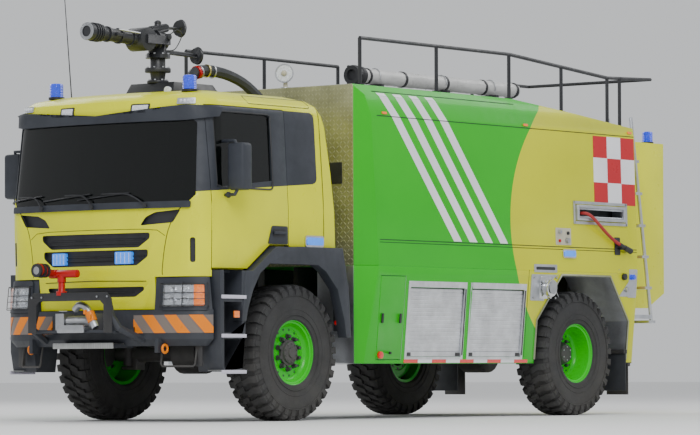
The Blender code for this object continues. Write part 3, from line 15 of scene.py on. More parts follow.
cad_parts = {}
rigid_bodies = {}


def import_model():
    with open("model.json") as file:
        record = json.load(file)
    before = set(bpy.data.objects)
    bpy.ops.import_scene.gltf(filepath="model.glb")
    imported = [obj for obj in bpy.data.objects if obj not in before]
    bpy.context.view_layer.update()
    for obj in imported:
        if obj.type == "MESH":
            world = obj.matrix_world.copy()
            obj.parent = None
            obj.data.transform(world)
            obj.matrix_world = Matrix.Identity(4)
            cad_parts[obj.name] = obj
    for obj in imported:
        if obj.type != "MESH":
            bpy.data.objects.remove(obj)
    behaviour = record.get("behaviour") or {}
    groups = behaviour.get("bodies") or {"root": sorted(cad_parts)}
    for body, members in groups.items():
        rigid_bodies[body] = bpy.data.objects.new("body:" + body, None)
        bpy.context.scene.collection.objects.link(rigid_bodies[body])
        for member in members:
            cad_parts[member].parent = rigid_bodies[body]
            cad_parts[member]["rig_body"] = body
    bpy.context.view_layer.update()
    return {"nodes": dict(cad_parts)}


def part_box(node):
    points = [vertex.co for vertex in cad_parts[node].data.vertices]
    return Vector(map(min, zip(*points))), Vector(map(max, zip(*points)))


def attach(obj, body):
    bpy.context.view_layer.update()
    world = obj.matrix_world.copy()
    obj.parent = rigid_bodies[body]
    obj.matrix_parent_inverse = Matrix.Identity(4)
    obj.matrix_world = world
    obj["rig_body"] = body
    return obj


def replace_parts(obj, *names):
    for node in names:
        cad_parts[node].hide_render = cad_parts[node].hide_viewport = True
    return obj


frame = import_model()
NODES = frame["nodes"]


def middle(node):
    low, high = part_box(node)
    return (low + high) / 2


AXLE_Y = middle("front_wheel_left").y
TYRE_RADIUS = middle("front_wheel_left").z
WHEELBASE = middle("rear_wheel_left").y - AXLE_Y
BODY_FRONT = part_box("upper_body")[0].y - AXLE_Y
BODY_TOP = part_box("upper_body")[1].z
SHIFT = Matrix.Translation((0, AXLE_Y, 0))
FLIP = Matrix.Diagonal((-1, 1, 1, 1))
SIDES = ((1, "left"), (-1, "right"))


def placed(name, data):
    """A new object in the scene."""
    item = bpy.data.objects.new(name, data)
    bpy.context.scene.collection.objects.link(item)
    return item


def evaluated(item):
    """A new mesh with the object's modifiers applied."""
    graph = bpy.context.evaluated_depsgraph_get()
    return bpy.data.meshes.new_from_object(item.evaluated_get(graph))


# Materials


def shader(name, colour, rough=0.5, **sockets):
    """A Principled material; sockets such as Metallic are constants set on the shader itself."""
    material = bpy.data.materials.new(name)
    material.use_nodes = True
    node = material.node_tree.nodes["Principled BSDF"]
    node.inputs["Base Color"].default_value = (*colour, 1)
    node.inputs["Roughness"].default_value = rough
    for socket, value in sockets.items():
        node.inputs[socket.replace("_", " ")].default_value = value
    return material


class Graph:
    """Short calls for the node tree of one material."""

    def __init__(self, material):
        self.tree = material.node_tree
        self.shader = self.tree.nodes["Principled BSDF"]
        self.place = self.tree.nodes.new("ShaderNodeTexCoord").outputs["Object"]

    def link(self, value, socket):
        if isinstance(value, bpy.types.NodeSocket):
            self.tree.links.new(value, socket)
        else:
            socket.default_value = value

    def math(self, operation, *values):
        node = self.tree.nodes.new("ShaderNodeMath")
        node.operation = operation
        for value, socket in zip(values, node.inputs):
            self.link(value, socket)
        return node.outputs[0]

    def axes(self):
        node = self.tree.nodes.new("ShaderNodeSeparateXYZ")
        self.link(self.place, node.inputs[0])
        return node.outputs

    def noise(self, scale, detail=3.0, rough=0.5):
        node = self.tree.nodes.new("ShaderNodeTexNoise")
        self.link(self.place, node.inputs["Vector"])
        node.inputs["Scale"].default_value = scale
        node.inputs["Detail"].default_value = detail
        node.inputs["Roughness"].default_value = rough
        return node.outputs["Fac"]

    def ramp(self, value, low, high, out_low=0.0, out_high=1.0):
        node = self.tree.nodes.new("ShaderNodeMapRange")
        self.link(value, node.inputs["Value"])
        sockets = ("From Min", "From Max", "To Min", "To Max")
        for socket, number in zip(sockets, (low, high, out_low, out_high)):
            node.inputs[socket].default_value = number
        return node.outputs["Result"]

    def mix(self, share, first, second):
        node = self.tree.nodes.new("ShaderNodeMix")
        node.data_type = "RGBA"
        self.link(share, node.inputs[0])
        for value, socket in ((first, node.inputs[6]), (second, node.inputs[7])):
            if isinstance(value, tuple):
                socket.default_value = (*value, 1)
            else:
                self.link(value, socket)
        return node.outputs[2]

    def bump(self, height, strength, distance):
        node = self.tree.nodes.new("ShaderNodeBump")
        node.inputs["Strength"].default_value = strength
        node.inputs["Distance"].default_value = distance
        self.link(height, node.inputs["Height"])
        self.tree.links.new(node.outputs["Normal"], self.shader.inputs["Normal"])

    def colour(self, value):
        self.tree.links.new(value, self.shader.inputs["Base Color"])

    def rough(self, value):
        self.tree.links.new(value, self.shader.inputs["Roughness"])


DUST = (0.20, 0.18, 0.15)
GLOSS = {"Coat_Weight": 0.2, "Coat_Roughness": 0.06, "Specular_IOR_Level": 0.25}


def dusted(graph, base, most=0.35, top=1.3):
    """Road dust that fades out upwards, in patches."""
    height = graph.ramp(graph.axes()[2], 0.25, top, most, 0.0)
    share = graph.math("MULTIPLY", height, graph.noise(5.0, 5.0, 0.6))
    return graph.mix(share, base, DUST)


def paint(name, colour, dust=0.25, peel=0.04):
    """Gloss coach paint: slight tone changes, orange peel and dust low down."""
    material = shader(name, colour, 0.32, **GLOSS)
    graph = Graph(material)
    darker = tuple(c * 0.90 for c in colour)
    lighter = tuple(min(1.0, c * 1.06) for c in colour)
    tone = graph.mix(graph.ramp(graph.noise(1.3, 4.0), 0.3, 0.7), darker, lighter)
    graph.colour(dusted(graph, tone, dust))
    graph.rough(graph.ramp(graph.noise(9.0, 4.0), 0.3, 0.7, 0.26, 0.40))
    graph.bump(graph.noise(160.0, 2.0), peel, 0.001)
    return material


# The edge between the two body colours: furthest forward at EDGE_HEIGHT, bending back above and below it
EDGE_HEIGHT = 1.9
EDGE_FRONT = 3.32
EDGE_BEND = (0.385, 0.05)  # for the square and the fourth power of the height from there
SHADE = (0.02, 0.03, 0.01)


def livery(name, green, yellow):
    """Body paint: green ahead of a curved edge on both sides, yellow behind it."""
    material = shader(name, green, 0.32, **GLOSS)
    graph = Graph(material)
    x, y, z = graph.axes()
    rise = graph.math("SUBTRACT", z, EDGE_HEIGHT)
    square = graph.math("MULTIPLY", rise, rise)
    fourth = graph.math("MULTIPLY", square, square)
    bends = [graph.math("MULTIPLY", term, bend) for term, bend in zip((square, fourth), EDGE_BEND)]
    edge = graph.math("ADD", graph.math("ADD", *bends), EDGE_FRONT + AXLE_Y)
    behind = graph.math("GREATER_THAN", y, edge)
    base = graph.mix(behind, green, yellow)
    tone = graph.mix(graph.ramp(graph.noise(1.1, 4.0), 0.3, 0.7, 0.0, 0.12), base, SHADE)
    graph.colour(dusted(graph, tone, 0.04))
    graph.rough(graph.ramp(graph.noise(8.0, 4.0), 0.3, 0.7, 0.28, 0.42))
    graph.bump(graph.noise(140.0, 2.0), 0.04, 0.001)
    return material


def grained(name, colour, rough=0.6, scale=420.0, strength=0.25, dust=0.3):
    """Moulded plastic, rubber or cast metal with a fine grain."""
    material = shader(name, colour, rough)
    graph = Graph(material)
    lighter = tuple(min(1.0, c * 1.35 + 0.01) for c in colour)
    tone = graph.mix(graph.ramp(graph.noise(3.0, 5.0, 0.6), 0.35, 0.75), colour, lighter)
    graph.colour(dusted(graph, tone, dust))
    graph.rough(graph.ramp(graph.noise(14.0, 4.0), 0.3, 0.7, rough - 0.08, rough + 0.1))
    graph.bump(graph.noise(scale, 3.0), strength, 0.0012)
    return material


def metal(name, colour, rough=0.3, streak=60.0, worn=0.12):
    material = shader(name, colour, rough, Metallic=1.0)
    graph = Graph(material)
    darker = tuple(c * 0.72 for c in colour)
    graph.colour(graph.mix(graph.ramp(graph.noise(6.0, 5.0, 0.65), 0.35, 0.75), colour, darker))
    graph.rough(graph.ramp(graph.noise(streak, 3.0), 0.3, 0.7, rough, rough + worn))
    graph.bump(graph.noise(streak * 4, 2.0), 0.06, 0.001)
    return material


PLATE_PITCH = 0.042  # between the chequer plate's lozenges


def tread_plate(name, colour, first, second, metallic=0.9):
    """Chequer plate: raised lozenges in alternate directions. first and second are the plate's own axes."""
    material = shader(name, colour, 0.38, Metallic=metallic)
    graph = Graph(material)
    axes = graph.axes()
    u = graph.math("DIVIDE", axes[first], PLATE_PITCH)
    v = graph.math("DIVIDE", axes[second], PLATE_PITCH)
    cells = graph.math("ADD", graph.math("FLOOR", u), graph.math("FLOOR", v))
    parity = graph.math("MODULO", graph.math("ABSOLUTE", cells), 2.0)
    local_u = graph.math("SUBTRACT", graph.math("FRACT", u), 0.5)
    local_v = graph.math("SUBTRACT", graph.math("FRACT", v), 0.5)
    plus = graph.math("ABSOLUTE", graph.math("ADD", local_u, local_v))
    minus = graph.math("ABSOLUTE", graph.math("SUBTRACT", local_u, local_v))
    swap = graph.math("SUBTRACT", minus, plus)
    long_way = graph.math("ADD", plus, graph.math("MULTIPLY", swap, parity))
    short_way = graph.math("SUBTRACT", minus, graph.math("MULTIPLY", swap, parity))
    length = graph.math("MULTIPLY", long_way, 1.1)
    reach = graph.math("ADD", length, graph.math("MULTIPLY", short_way, 4.6))
    height = graph.ramp(reach, 0.55, 0.95, 1.0, 0.0)
    graph.bump(height, 0.9, 0.004)
    dull = tuple(c * 0.6 for c in colour)
    tone = graph.mix(graph.ramp(graph.noise(4.0, 5.0, 0.6), 0.3, 0.75), colour, dull)
    bright = tuple(min(1.0, c * 1.5 + 0.05) for c in colour)
    graph.colour(graph.mix(graph.math("MULTIPLY", height, 0.35), tone, bright))
    graph.rough(graph.ramp(graph.noise(30.0), 0.3, 0.7, 0.3, 0.5))
    return material


def lamp(name, colour, glow=0.0, rough=0.08):
    material = shader(name, colour, rough, Coat_Weight=1.0, Coat_Roughness=0.03)
    node = material.node_tree.nodes["Principled BSDF"]
    node.inputs["Emission Color"].default_value = (*colour, 1)
    node.inputs["Emission Strength"].default_value = glow
    graph = Graph(material)
    ribs = [graph.math("SINE", graph.math("MULTIPLY", graph.axes()[k], 700.0)) for k in (0, 2)]
    graph.bump(graph.math("ADD", *ribs), 0.25, 0.001)
    dull = tuple(c * 0.6 for c in colour)
    graph.colour(graph.mix(graph.ramp(graph.noise(60.0), 0.3, 0.7), colour, dull))
    return material


def tinted_glass(name, colour):
    material = shader(name, colour, 0.03, Transmission_Weight=0.9, IOR=1.35, Coat_Weight=0.1)
    graph = Graph(material)
    graph.rough(graph.ramp(graph.noise(2.0, 4.0), 0.3, 0.7, 0.02, 0.06))
    return material


def fabric(name, colour):
    """Woven seat cloth."""
    material = shader(name, colour, 0.9, Sheen_Weight=0.4, Sheen_Roughness=0.4)
    graph = Graph(material)
    axes = graph.axes()
    warp = graph.math("SINE", graph.math("MULTIPLY", graph.math("ADD", axes[1], axes[2]), 2600.0))
    weft = graph.math("SINE", graph.math("MULTIPLY", axes[0], 2600.0))
    weave = graph.math("MULTIPLY", warp, weft)
    graph.bump(weave, 0.5, 0.0008)
    lighter = tuple(c * 1.7 + 0.01 for c in colour)
    graph.colour(graph.mix(graph.ramp(weave, -1.0, 1.0, 0.0, 0.6), colour, lighter))
    return material


def rubber(name, colour):
    material = shader(name, colour, 0.85)
    graph = Graph(material)
    fine = graph.noise(90.0, 6.0, 0.7)
    paler = tuple(c * 1.9 + 0.008 for c in colour)
    worn = graph.mix(graph.ramp(graph.noise(4.0, 6.0, 0.65), 0.35, 0.8), colour, paler)
    graph.colour(dusted(graph, worn, 0.28, 1.6))
    graph.rough(graph.ramp(fine, 0.3, 0.7, 0.74, 0.95))
    graph.bump(fine, 0.35, 0.002)
    return material


LIME = (0.760, 0.780, 0.0)
GREEN = (0.012, 0.480, 0.004)
BODY_YELLOW = (0.660, 0.680, 0.0)
M = {
    "lime": paint("lime", LIME, 0.02),
    "livery": livery("livery", GREEN, BODY_YELLOW),
    "rim_green": paint("rim_green", (0.006, 0.56, 0.006), 0.06),
    "red": paint("red", (0.50, 0.006, 0.005), 0.02),
    "checker_red": paint("checker_red", (0.55, 0.012, 0.020), 0.0),
    "stripe_white": paint("stripe_white", (0.86, 0.86, 0.90), 0.0),
    "orange": paint("orange", (0.92, 0.24, 0.001), 0.02),
    "hazard_grey": paint("hazard_grey", (0.20, 0.165, 0.145), 0.05),
    "plastic": grained("plastic", (0.019, 0.023, 0.032), 0.5, 420.0, 0.2, 0.12),
    "black": grained("black", (0.012, 0.013, 0.016), 0.45, 300.0, 0.12),
    "frame": grained("frame", (0.018, 0.019, 0.022), 0.55, 120.0, 0.2, 0.55),
    "monitor": grained("monitor", (0.014, 0.015, 0.018), 0.4, 220.0, 0.2, 0.0),
    "seam": grained("seam", (0.01, 0.012, 0.01), 0.7),
    "tyre": rubber("tyre", (0.014, 0.015, 0.017)),
    "hose": grained("hose", (0.024, 0.027, 0.032), 0.62, 500.0, 0.3, 0.0),
    "red_hose": grained("red_hose", (0.33, 0.012, 0.012), 0.45, 400.0, 0.1, 0.0),
    "wrap": grained("wrap", (0.50, 0.50, 0.49), 0.33, 22.0, 1.0, 0.0),
    "steel": metal("steel", (0.52, 0.53, 0.55)),
    "aluminium": metal("aluminium", (0.62, 0.64, 0.68), 0.36, 40.0),
    "chrome": metal("chrome", (0.72, 0.73, 0.75), 0.08, 30.0, 0.05),
    "brass": metal("brass", (0.58, 0.50, 0.20), 0.25),
    "deck": tread_plate("deck", (0.50, 0.51, 0.50), 0, 1),
    "front_plate": tread_plate("front_plate", (0.46, 0.46, 0.27), 0, 2, 0.75),
    "glass": tinted_glass("glass", (0.022, 0.030, 0.030)),
    "clear": tinted_glass("clear", (0.9, 0.92, 0.95)),
    "blue": lamp("blue", (0.0, 0.045, 0.85), 0.35),
    "strobe": lamp("strobe", (0.03, 0.25, 0.95), 0.75),
    "white_lamp": lamp("white_lamp", (0.80, 0.83, 0.88), 0.15),
    "amber": lamp("amber", (0.95, 0.20, 0.01), 0.35),
    "red_lamp": lamp("red_lamp", (0.75, 0.01, 0.01), 0.3),
    "slat": metal("slat", (0.84, 0.85, 0.88), 0.45, 30.0, 0.04),
    "arch_green": metal("arch_green", (0.40, 0.42, 0.30), 0.35),
    "beige": paint("beige", (0.55, 0.52, 0.40), 0.05),
    "step_edge": paint("step_edge", (0.62, 0.60, 0.70), 0.1),
    "cloth": fabric("cloth", (0.030, 0.034, 0.045)),
    "cloth_side": fabric("cloth_side", (0.014, 0.015, 0.018)),
}


# Shapes


def mesh_of(work):
    mesh = bpy.data.meshes.new("shape")
    work.to_mesh(mesh)
    work.free()
    return mesh


def softened(work, width, segments=2):
    if width:
        edges = [e for e in work.edges if len(e.link_faces) == 2 and e.calc_face_angle(0) > 0.5]
        options = {"segments": segments, "profile": 0.5, "affect": "EDGES", "clamp_overlap": True}
        bmesh.ops.bevel(work, geom=edges, offset=width, **options)
    return mesh_of(work)


def block(low, high, bevel=0.004):
    work = bmesh.new()
    bmesh.ops.create_cube(work, size=1.0)
    low, high = Vector(low), Vector(high)
    bmesh.ops.scale(work, vec=high - low, verts=work.verts)
    bmesh.ops.translate(work, vec=(low + high) / 2, verts=work.verts)
    return softened(work, bevel)


def rod(start, end, radius, end_radius=None, sides=24, bevel=0.0):
    start, end = Vector(start), Vector(end)
    work = bmesh.new()
    radii = {"radius1": radius, "radius2": radius if end_radius is None else end_radius}
    bmesh.ops.create_cone(work, cap_ends=True, segments=sides, depth=(end - start).length, **radii)
    turn = (end - start).to_track_quat("Z", "Y").to_matrix().to_4x4()
    bmesh.ops.transform(work, matrix=Matrix.Translation((start + end) / 2) @ turn, verts=work.verts)
    return softened(work, bevel)


def ball(centre, radius, stretch=(1, 1, 1), sides=20):
    work = bmesh.new()
    bmesh.ops.create_uvsphere(work, u_segments=sides, v_segments=sides // 2, radius=radius)
    bmesh.ops.scale(work, vec=stretch, verts=work.verts)
    bmesh.ops.translate(work, vec=centre, verts=work.verts)
    return mesh_of(work)


def circle(count, radius, turn=0.0, squash=1.0):
    """Points spaced evenly round a circle, turned by an angle. squash narrows its first axis."""
    angles = [turn + 2 * math.pi * k / count for k in range(count)]
    return [(squash * radius * math.cos(a), radius * math.sin(a)) for a in angles]


def lathe(origin, along, profile, sides=64):
    """A profile of (distance along, radius) turned about an axis. Radius 0 closes an end."""
    along = Vector(along).normalized()
    turn = along.to_track_quat("Z", "Y")
    work = bmesh.new()
    rings = []
    for t, r in profile:
        if r < 1e-6:
            rings.append([work.verts.new(Vector(origin) + along * t)])
            continue
        centre = Vector(origin) + along * t
        rings.append([work.verts.new(centre + turn @ Vector((x, y, 0))) for x, y in circle(sides, r)])
    for a, b in zip(rings, rings[1:]):
        for i in range(sides):
            j = (i + 1) % sides
            corners = [a[i % len(a)], a[j % len(a)], b[j % len(b)], b[i % len(b)]]
            corners = [v for k, v in enumerate(corners) if v not in corners[:k]]
            if len(corners) > 2:
                work.faces.new(corners)
    bmesh.ops.recalc_face_normals(work, faces=work.faces)
    return mesh_of(work)


def smooth_route(points, steps):
    """Catmull-Rom points through a few chosen ones."""
    padded = [points[0], *points, points[-1]]
    route = []
    for a, b, c, d in zip(padded, padded[1:], padded[2:], padded[3:]):
        for i in range(steps):
            t = i / steps
            terms = (
                (2 * q, r - p, 2 * p - 5 * q + 4 * r - s, 3 * q - p - 3 * r + s)
                for p, q, r, s in zip(a, b, c, d)
            )
            route.append(tuple(0.5 * (w + x * t + y * t**2 + z * t**3) for w, x, y, z in terms))
    route.append(tuple(points[-1]))
    return route


def tube(points, radius, sides=12, closed=False):
    """A round section swept along points."""
    points = [Vector(p) for p in points]
    count = len(points)
    work = bmesh.new()
    normal = None
    rings = []
    for i, point in enumerate(points):
        before = points[(i - 1) % count] if closed or i else point
        after = points[(i + 1) % count] if closed or i < count - 1 else point
        line = (after - before).normalized()
        if normal is None:
            normal = line.orthogonal().normalized()
        normal = (normal - line * normal.dot(line)).normalized()
        side = line.cross(normal)
        rings.append([work.verts.new(point + normal * u + side * v) for u, v in circle(sides, radius)])
    pairs = list(zip(rings, rings[1:])) + ([(rings[-1], rings[0])] if closed else [])
    for a, b in pairs:
        for k in range(sides):
            j = (k + 1) % sides
            work.faces.new((a[k], a[j], b[j], b[k]))
    if not closed:
        work.faces.new(rings[0])
        work.faces.new(rings[-1])
    bmesh.ops.recalc_face_normals(work, faces=work.faces)
    return mesh_of(work)


def arc(centre, radius, first, last, count):
    """Points on an arc between two angles in degrees."""
    angles = [math.radians(first + (last - first) * i / count) for i in range(count + 1)]
    return [(centre[0] + radius * math.cos(a), centre[1] + radius * math.sin(a)) for a in angles]


def rounded(outline, radius, steps=4):
    """The outline with each corner turned into a short curve."""
    result = []
    count = len(outline)
    for i, point in enumerate(outline):
        p = Vector(point)
        a, b = Vector(outline[i - 1]) - p, Vector(outline[(i + 1) % count]) - p
        r = min(radius, a.length * 0.45, b.length * 0.45)
        start, end = p + a.normalized() * r, p + b.normalized() * r
        for k in range(steps + 1):
            t = k / steps
            result.append(tuple(start * (1 - t) ** 2 + p * 2 * t * (1 - t) + end * t**2))
    return result


def oblong(a0, b0, a1, b1, radius=0.0):
    outline = [(a0, b0), (a1, b0), (a1, b1), (a0, b1)]
    return rounded(outline, radius) if radius else outline


def sided(side, points):
    """The points as they are, or on the right when side is -1."""
    return [(side * u, v) for u, v in points]


def mirrored(half):
    """A closed outline from its left half, which starts and ends on the middle."""
    return [*half, *sided(-1, reversed(half[1:-1]))]


def prism(outline, axis, low, high, bevel=0.0):
    """A flat outline made thick. axis is its normal's letter; outlines are (y, z), (x, z) or (x, y)."""
    order = {"X": (2, 0, 1), "Y": (0, 2, 1), "Z": (0, 1, 2)}[axis]
    work = bmesh.new()
    rings = []
    for depth in (low, high):
        ring = []
        for u, v in outline:
            values = (u, v, depth)
            ring.append(work.verts.new([values[k] for k in order]))
        rings.append(ring)
    work.faces.new(rings[0])
    work.faces.new(rings[1])
    for i in range(len(outline)):
        j = (i + 1) % len(outline)
        work.faces.new((rings[0][i], rings[0][j], rings[1][j], rings[1][i]))
    bmesh.ops.recalc_face_normals(work, faces=work.faces)
    return softened(work, bevel)


# Patches that follow a CAD surface


def tree_of(*names):
    work = bmesh.new()
    for name in names:
        work.from_mesh(NODES[name].data)
    bmesh.ops.transform(work, matrix=SHIFT.inverted(), verts=work.verts)
    bmesh.ops.triangulate(work, faces=work.faces)
    tree = BVHTree.FromBMesh(work)
    work.free()
    return tree


def from_front(u, v):
    return Vector((u, -3.0, v)), Vector((0, 1, 0))


def from_back(u, v):
    return Vector((u, 9.0, v)), Vector((0, -1, 0))


def from_side(u, v):
    return Vector((3.0, u, v)), Vector((-1, 0, 0))


def from_above(u, v):
    return Vector((u, v, 5.0)), Vector((0, 0, -1))


CORNER = (0.88, -1.01, 0.345)  # centre x, centre y and radius of the cab's front corner
WRAP_START = 2.0
NEAR_START = 1.545  # how much nearer near_wrap's rays start, behind the bull bar's tubes


def wrap(u, v):
    """Rays round the truck's front. u is the distance from the middle, past the corner and back."""
    side = 1 if u >= 0 else -1
    x, y, radius = CORNER
    angle = min(max(0.0, abs(u) - x) / radius, math.pi / 2)
    along = max(0.0, abs(u) - x - radius * math.pi / 2)
    out = Vector((side * math.sin(angle), -math.cos(angle), 0))
    return Vector((side * min(abs(u), x), y + along, v)) + out * WRAP_START, -out


def near_wrap(u, v):
    origin, direction = wrap(u, v)
    return origin + direction * NEAR_START, direction


# Each surface is a tree and the rays that look at it
CAB_TREE = tree_of("cab_shell", "windshield", "cab_door_left", "cab_door_right", "door_window_left")
BODY_TREE = tree_of("upper_body", "lower_body_left", "locker_door_left")
BUMPER_TREE = tree_of("front_bumper", "cab_shell")
SHELL_TREE = tree_of("cab_shell")
REAR_TREE = tree_of("pump_box", "rear_door", "upper_body", "lower_body_left", "lower_body_right")
CAB_FACE = (CAB_TREE, from_front)
CAB_ROUND = (CAB_TREE, wrap)
CAB_ROOF = (CAB_TREE, from_above)
CAB_SIDE = (CAB_TREE, from_side)
BODY_FACE = (BODY_TREE, from_front)
BODY_SIDE = (BODY_TREE, from_side)
BODY_ROOF = (BODY_TREE, from_above)
BUMPER_ROUND = (BUMPER_TREE, wrap)
BUMPER_NEAR = (BUMPER_TREE, near_wrap)
SHELL_FACE = (SHELL_TREE, from_front)
SHELL_ROUND = (SHELL_TREE, wrap)
REAR = (REAR_TREE, from_back)
NUDGES = (0.0, 0.008, -0.008, 0.02, -0.02, 0.05, -0.05)
LEAST_FACING = 0.35


def spot(surface, u, v, lift=0.0):
    """The surface's point there, lift proud of it; in a gap, the nearest place beside it."""
    tree, ray = surface
    for nudge in NUDGES:
        origin, direction = ray(u + nudge, v + nudge)
        place = tree.ray_cast(origin, direction)[0]
        if place is not None:
            return place - direction * lift
    raise ValueError(f"no surface near {u:.2f}, {v:.2f}")


def cut(work, point, normal):
    """Divides every face that a plane crosses."""
    everything = work.verts[:] + work.edges[:] + work.faces[:]
    bmesh.ops.bisect_plane(work, geom=everything, plane_co=point, plane_no=normal)


def patch(outline, surface, lift, thick, step):
    """A sheet over a surface: its outer face stands lift proud, it is thick deep and bends every step."""
    tree, ray = surface
    work = bmesh.new()
    work.faces.new([work.verts.new((u, v, 0)) for u, v in outline])
    bmesh.ops.triangulate(work, faces=work.faces)
    for k in (0, 1):
        values = [p[k] for p in outline]
        line = math.floor(min(values) / step) * step + step
        while line < max(values) - 1e-6:
            normal = Vector((1, 0, 0)) if k == 0 else Vector((0, 1, 0))
            cut(work, normal * line, normal)
            line += step
    bmesh.ops.remove_doubles(work, verts=work.verts, dist=1e-5)
    lost = []
    for vert in work.verts:
        origin, direction = ray(vert.co.x, vert.co.y)
        place, normal, _, _ = tree.ray_cast(origin, direction)
        if place is None:
            lost.append(vert)
            continue
        facing = max(LEAST_FACING, -normal.dot(direction))
        vert.co = place - direction * lift / facing
        vert.normal = -direction
    if lost:
        bmesh.ops.delete(work, geom=lost, context="VERTS")
    top = list(work.faces)
    inner = {}
    for vert in list(work.verts):
        inner[vert] = work.verts.new(vert.co - vert.normal * thick)
    for face in top:
        work.faces.new([inner[v] for v in reversed(face.verts)])
    for edge in [e for e in work.edges if e.is_boundary and e.verts[0] in inner and e.verts[1] in inner]:
        a, b = edge.verts
        work.faces.new((a, b, inner[b], inner[a]))
    bmesh.ops.recalc_face_normals(work, faces=work.faces)
    return mesh_of(work)


def strip(points, width):
    """The outline of a thin line through a few points."""
    points = [Vector(p) for p in points]
    left, right = [], []
    for i, point in enumerate(points):
        line = (points[min(i + 1, len(points) - 1)] - points[max(i - 1, 0)]).normalized()
        side = Vector((-line.y, line.x)) * width / 2
        left.append(tuple(point + side))
        right.append(tuple(point - side))
    return left + right[::-1]


class Piece:
    """Gathers shapes into one object that rides on a body."""

    def __init__(self, name, body="body", slot="dark_plastic"):
        self.name = name
        self.body = body
        self.slot = slot
        self.work = bmesh.new()
        self.materials = []

    def add(self, mesh, material, turn=None, both=False):
        if material not in self.materials:
            self.materials.append(material)
        if turn is not None:
            mesh.transform(turn)
        for polygon in mesh.polygons:
            polygon.material_index = self.materials.index(material)
        self.work.from_mesh(mesh)
        if both:
            mesh.transform(FLIP)
            mesh.flip_normals()
            self.work.from_mesh(mesh)
        bpy.data.meshes.remove(mesh)

    def cover(self, surface, outline, lift, thick, step, material, both=False):
        self.add(patch(outline, surface, lift, thick, step), material, both=both)

    def done(self, angle=38, mirror=False):
        mesh = bpy.data.meshes.new(self.name)
        self.work.to_mesh(mesh)
        self.work.free()
        mesh.transform(SHIFT)
        if mirror:
            mesh.transform(FLIP)
            mesh.flip_normals()
        for material in self.materials:
            mesh.materials.append(M[material])
        mesh.shade_smooth()
        mesh.set_sharp_from_angle(angle=math.radians(angle))
        item = placed(self.name, mesh)
        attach(item, self.body)
        return item


def dress(node, *materials):
    """A CAD node keeps its shape and takes better materials."""
    mesh = NODES[node].data
    mesh.materials.clear()
    for material in materials:
        mesh.materials.append(M[material])


WELD = 2e-5
FLAT_DEGREES = 0.6
BEVEL_DEGREES = 28
SMOOTH_DEGREES = 32


def softer_copy(node, materials, bevel, choose=None, cutters=(), slices=()):
    """A welded, smooth-shaded copy with softened edges that stands for its CAD node.

    slices are planes (point, normal) where the paint changes, and choose gives a face's material from its
    middle and normal. Cutters are closed shapes that leave recesses."""
    work = bmesh.new()
    work.from_mesh(NODES[node].data)
    bmesh.ops.transform(work, matrix=SHIFT.inverted(), verts=work.verts)
    bmesh.ops.remove_doubles(work, verts=work.verts, dist=WELD)
    flat = math.radians(FLAT_DEGREES)
    bmesh.ops.dissolve_limit(work, angle_limit=flat, verts=work.verts, edges=work.edges)
    for point, normal in slices:
        cut(work, point, normal)
    for face in work.faces:
        face.material_index = choose(face.calc_center_median(), face.normal) if choose else 0
    mesh = mesh_of(work)
    for material in materials:
        mesh.materials.append(M[material])
    body = NODES[node]["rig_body"]
    item = placed(f"{node}_finish", mesh)
    for cutter, material in cutters:
        cutter.materials.append(M[material])
        modifier = item.modifiers.new("cut", "BOOLEAN")
        modifier.operation = "DIFFERENCE"
        modifier.solver = "EXACT"
        modifier.material_mode = "TRANSFER"
        modifier.object = placed("cutter", cutter)
    if bevel:
        modifier = item.modifiers.new("soften", "BEVEL")
        modifier.width = bevel
        modifier.segments = 2
        modifier.limit_method = "ANGLE"
        modifier.angle_limit = math.radians(BEVEL_DEGREES)
        modifier.use_clamp_overlap = True
        modifier.harden_normals = False
    baked = evaluated(item)
    for modifier in list(item.modifiers):
        if modifier.type == "BOOLEAN":
            bpy.data.objects.remove(modifier.object)
    item.modifiers.clear()
    item.data = baked
    baked.transform(SHIFT)
    baked.shade_smooth()
    baked.set_sharp_from_angle(angle=math.radians(SMOOTH_DEGREES))
    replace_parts(item, node)
    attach(item, body)


# The camera, the stage and the hose

CAMERA_PLACE = (22.490, -29.298, 0.450)
CAMERA_AIM = (-0.6117, 0.7905, 0.0286)
CAMERA_ROLL = -0.219  # degrees
CAMERA_SHIFT = (0.01466, 0.0655)
FLOOR_HALF = 90
SKY = (0.96, 0.98, 1.0)
SKY_STRENGTH = 0.72
# Place, size and power
SOFT_LIGHTS = (((11, -14, 13), 9, 2100), ((-15, 3, 12), 10, 900), ((6, 10, 14), 10, 900))


def make_camera():
    data = bpy.data.cameras.new("camera")
    data.sensor_width = 36.0
    data.lens = 193.92
    data.shift_x, data.shift_y = CAMERA_SHIFT
    data.clip_end = 200.0
    camera = placed("camera", data)
    camera.location = CAMERA_PLACE
    camera.rotation_mode = "QUATERNION"
    aim = Vector(CAMERA_AIM).to_track_quat("-Z", "Y")
    camera.rotation_quaternion = aim @ Quaternion((0, 0, 1), math.radians(CAMERA_ROLL))
    bpy.context.scene.camera = camera


def make_stage():
    """A large pale floor, a bright sky and three soft lights."""
    mesh = block((-FLOOR_HALF, -FLOOR_HALF, -0.2), (FLOOR_HALF, FLOOR_HALF, 0), 0)
    mesh.materials.append(shader("floor_grey", (0.80, 0.80, 0.80), 0.75))
    placed("floor", mesh)
    world = bpy.data.worlds.new("sky")
    bpy.context.scene.world = world
    world.use_nodes = True
    background = world.node_tree.nodes["Background"]
    background.inputs["Color"].default_value = (*SKY, 1)
    background.inputs["Strength"].default_value = SKY_STRENGTH
    for place, size, power in SOFT_LIGHTS:
        data = bpy.data.lights.new("soft_light", "AREA")
        data.size = size
        data.energy = power
        light = placed("soft_light", data)
        light.location = place
        light.rotation_euler = (Vector((0, 0, 1)) - Vector(place)).to_track_quat("-Z", "Y").to_euler()


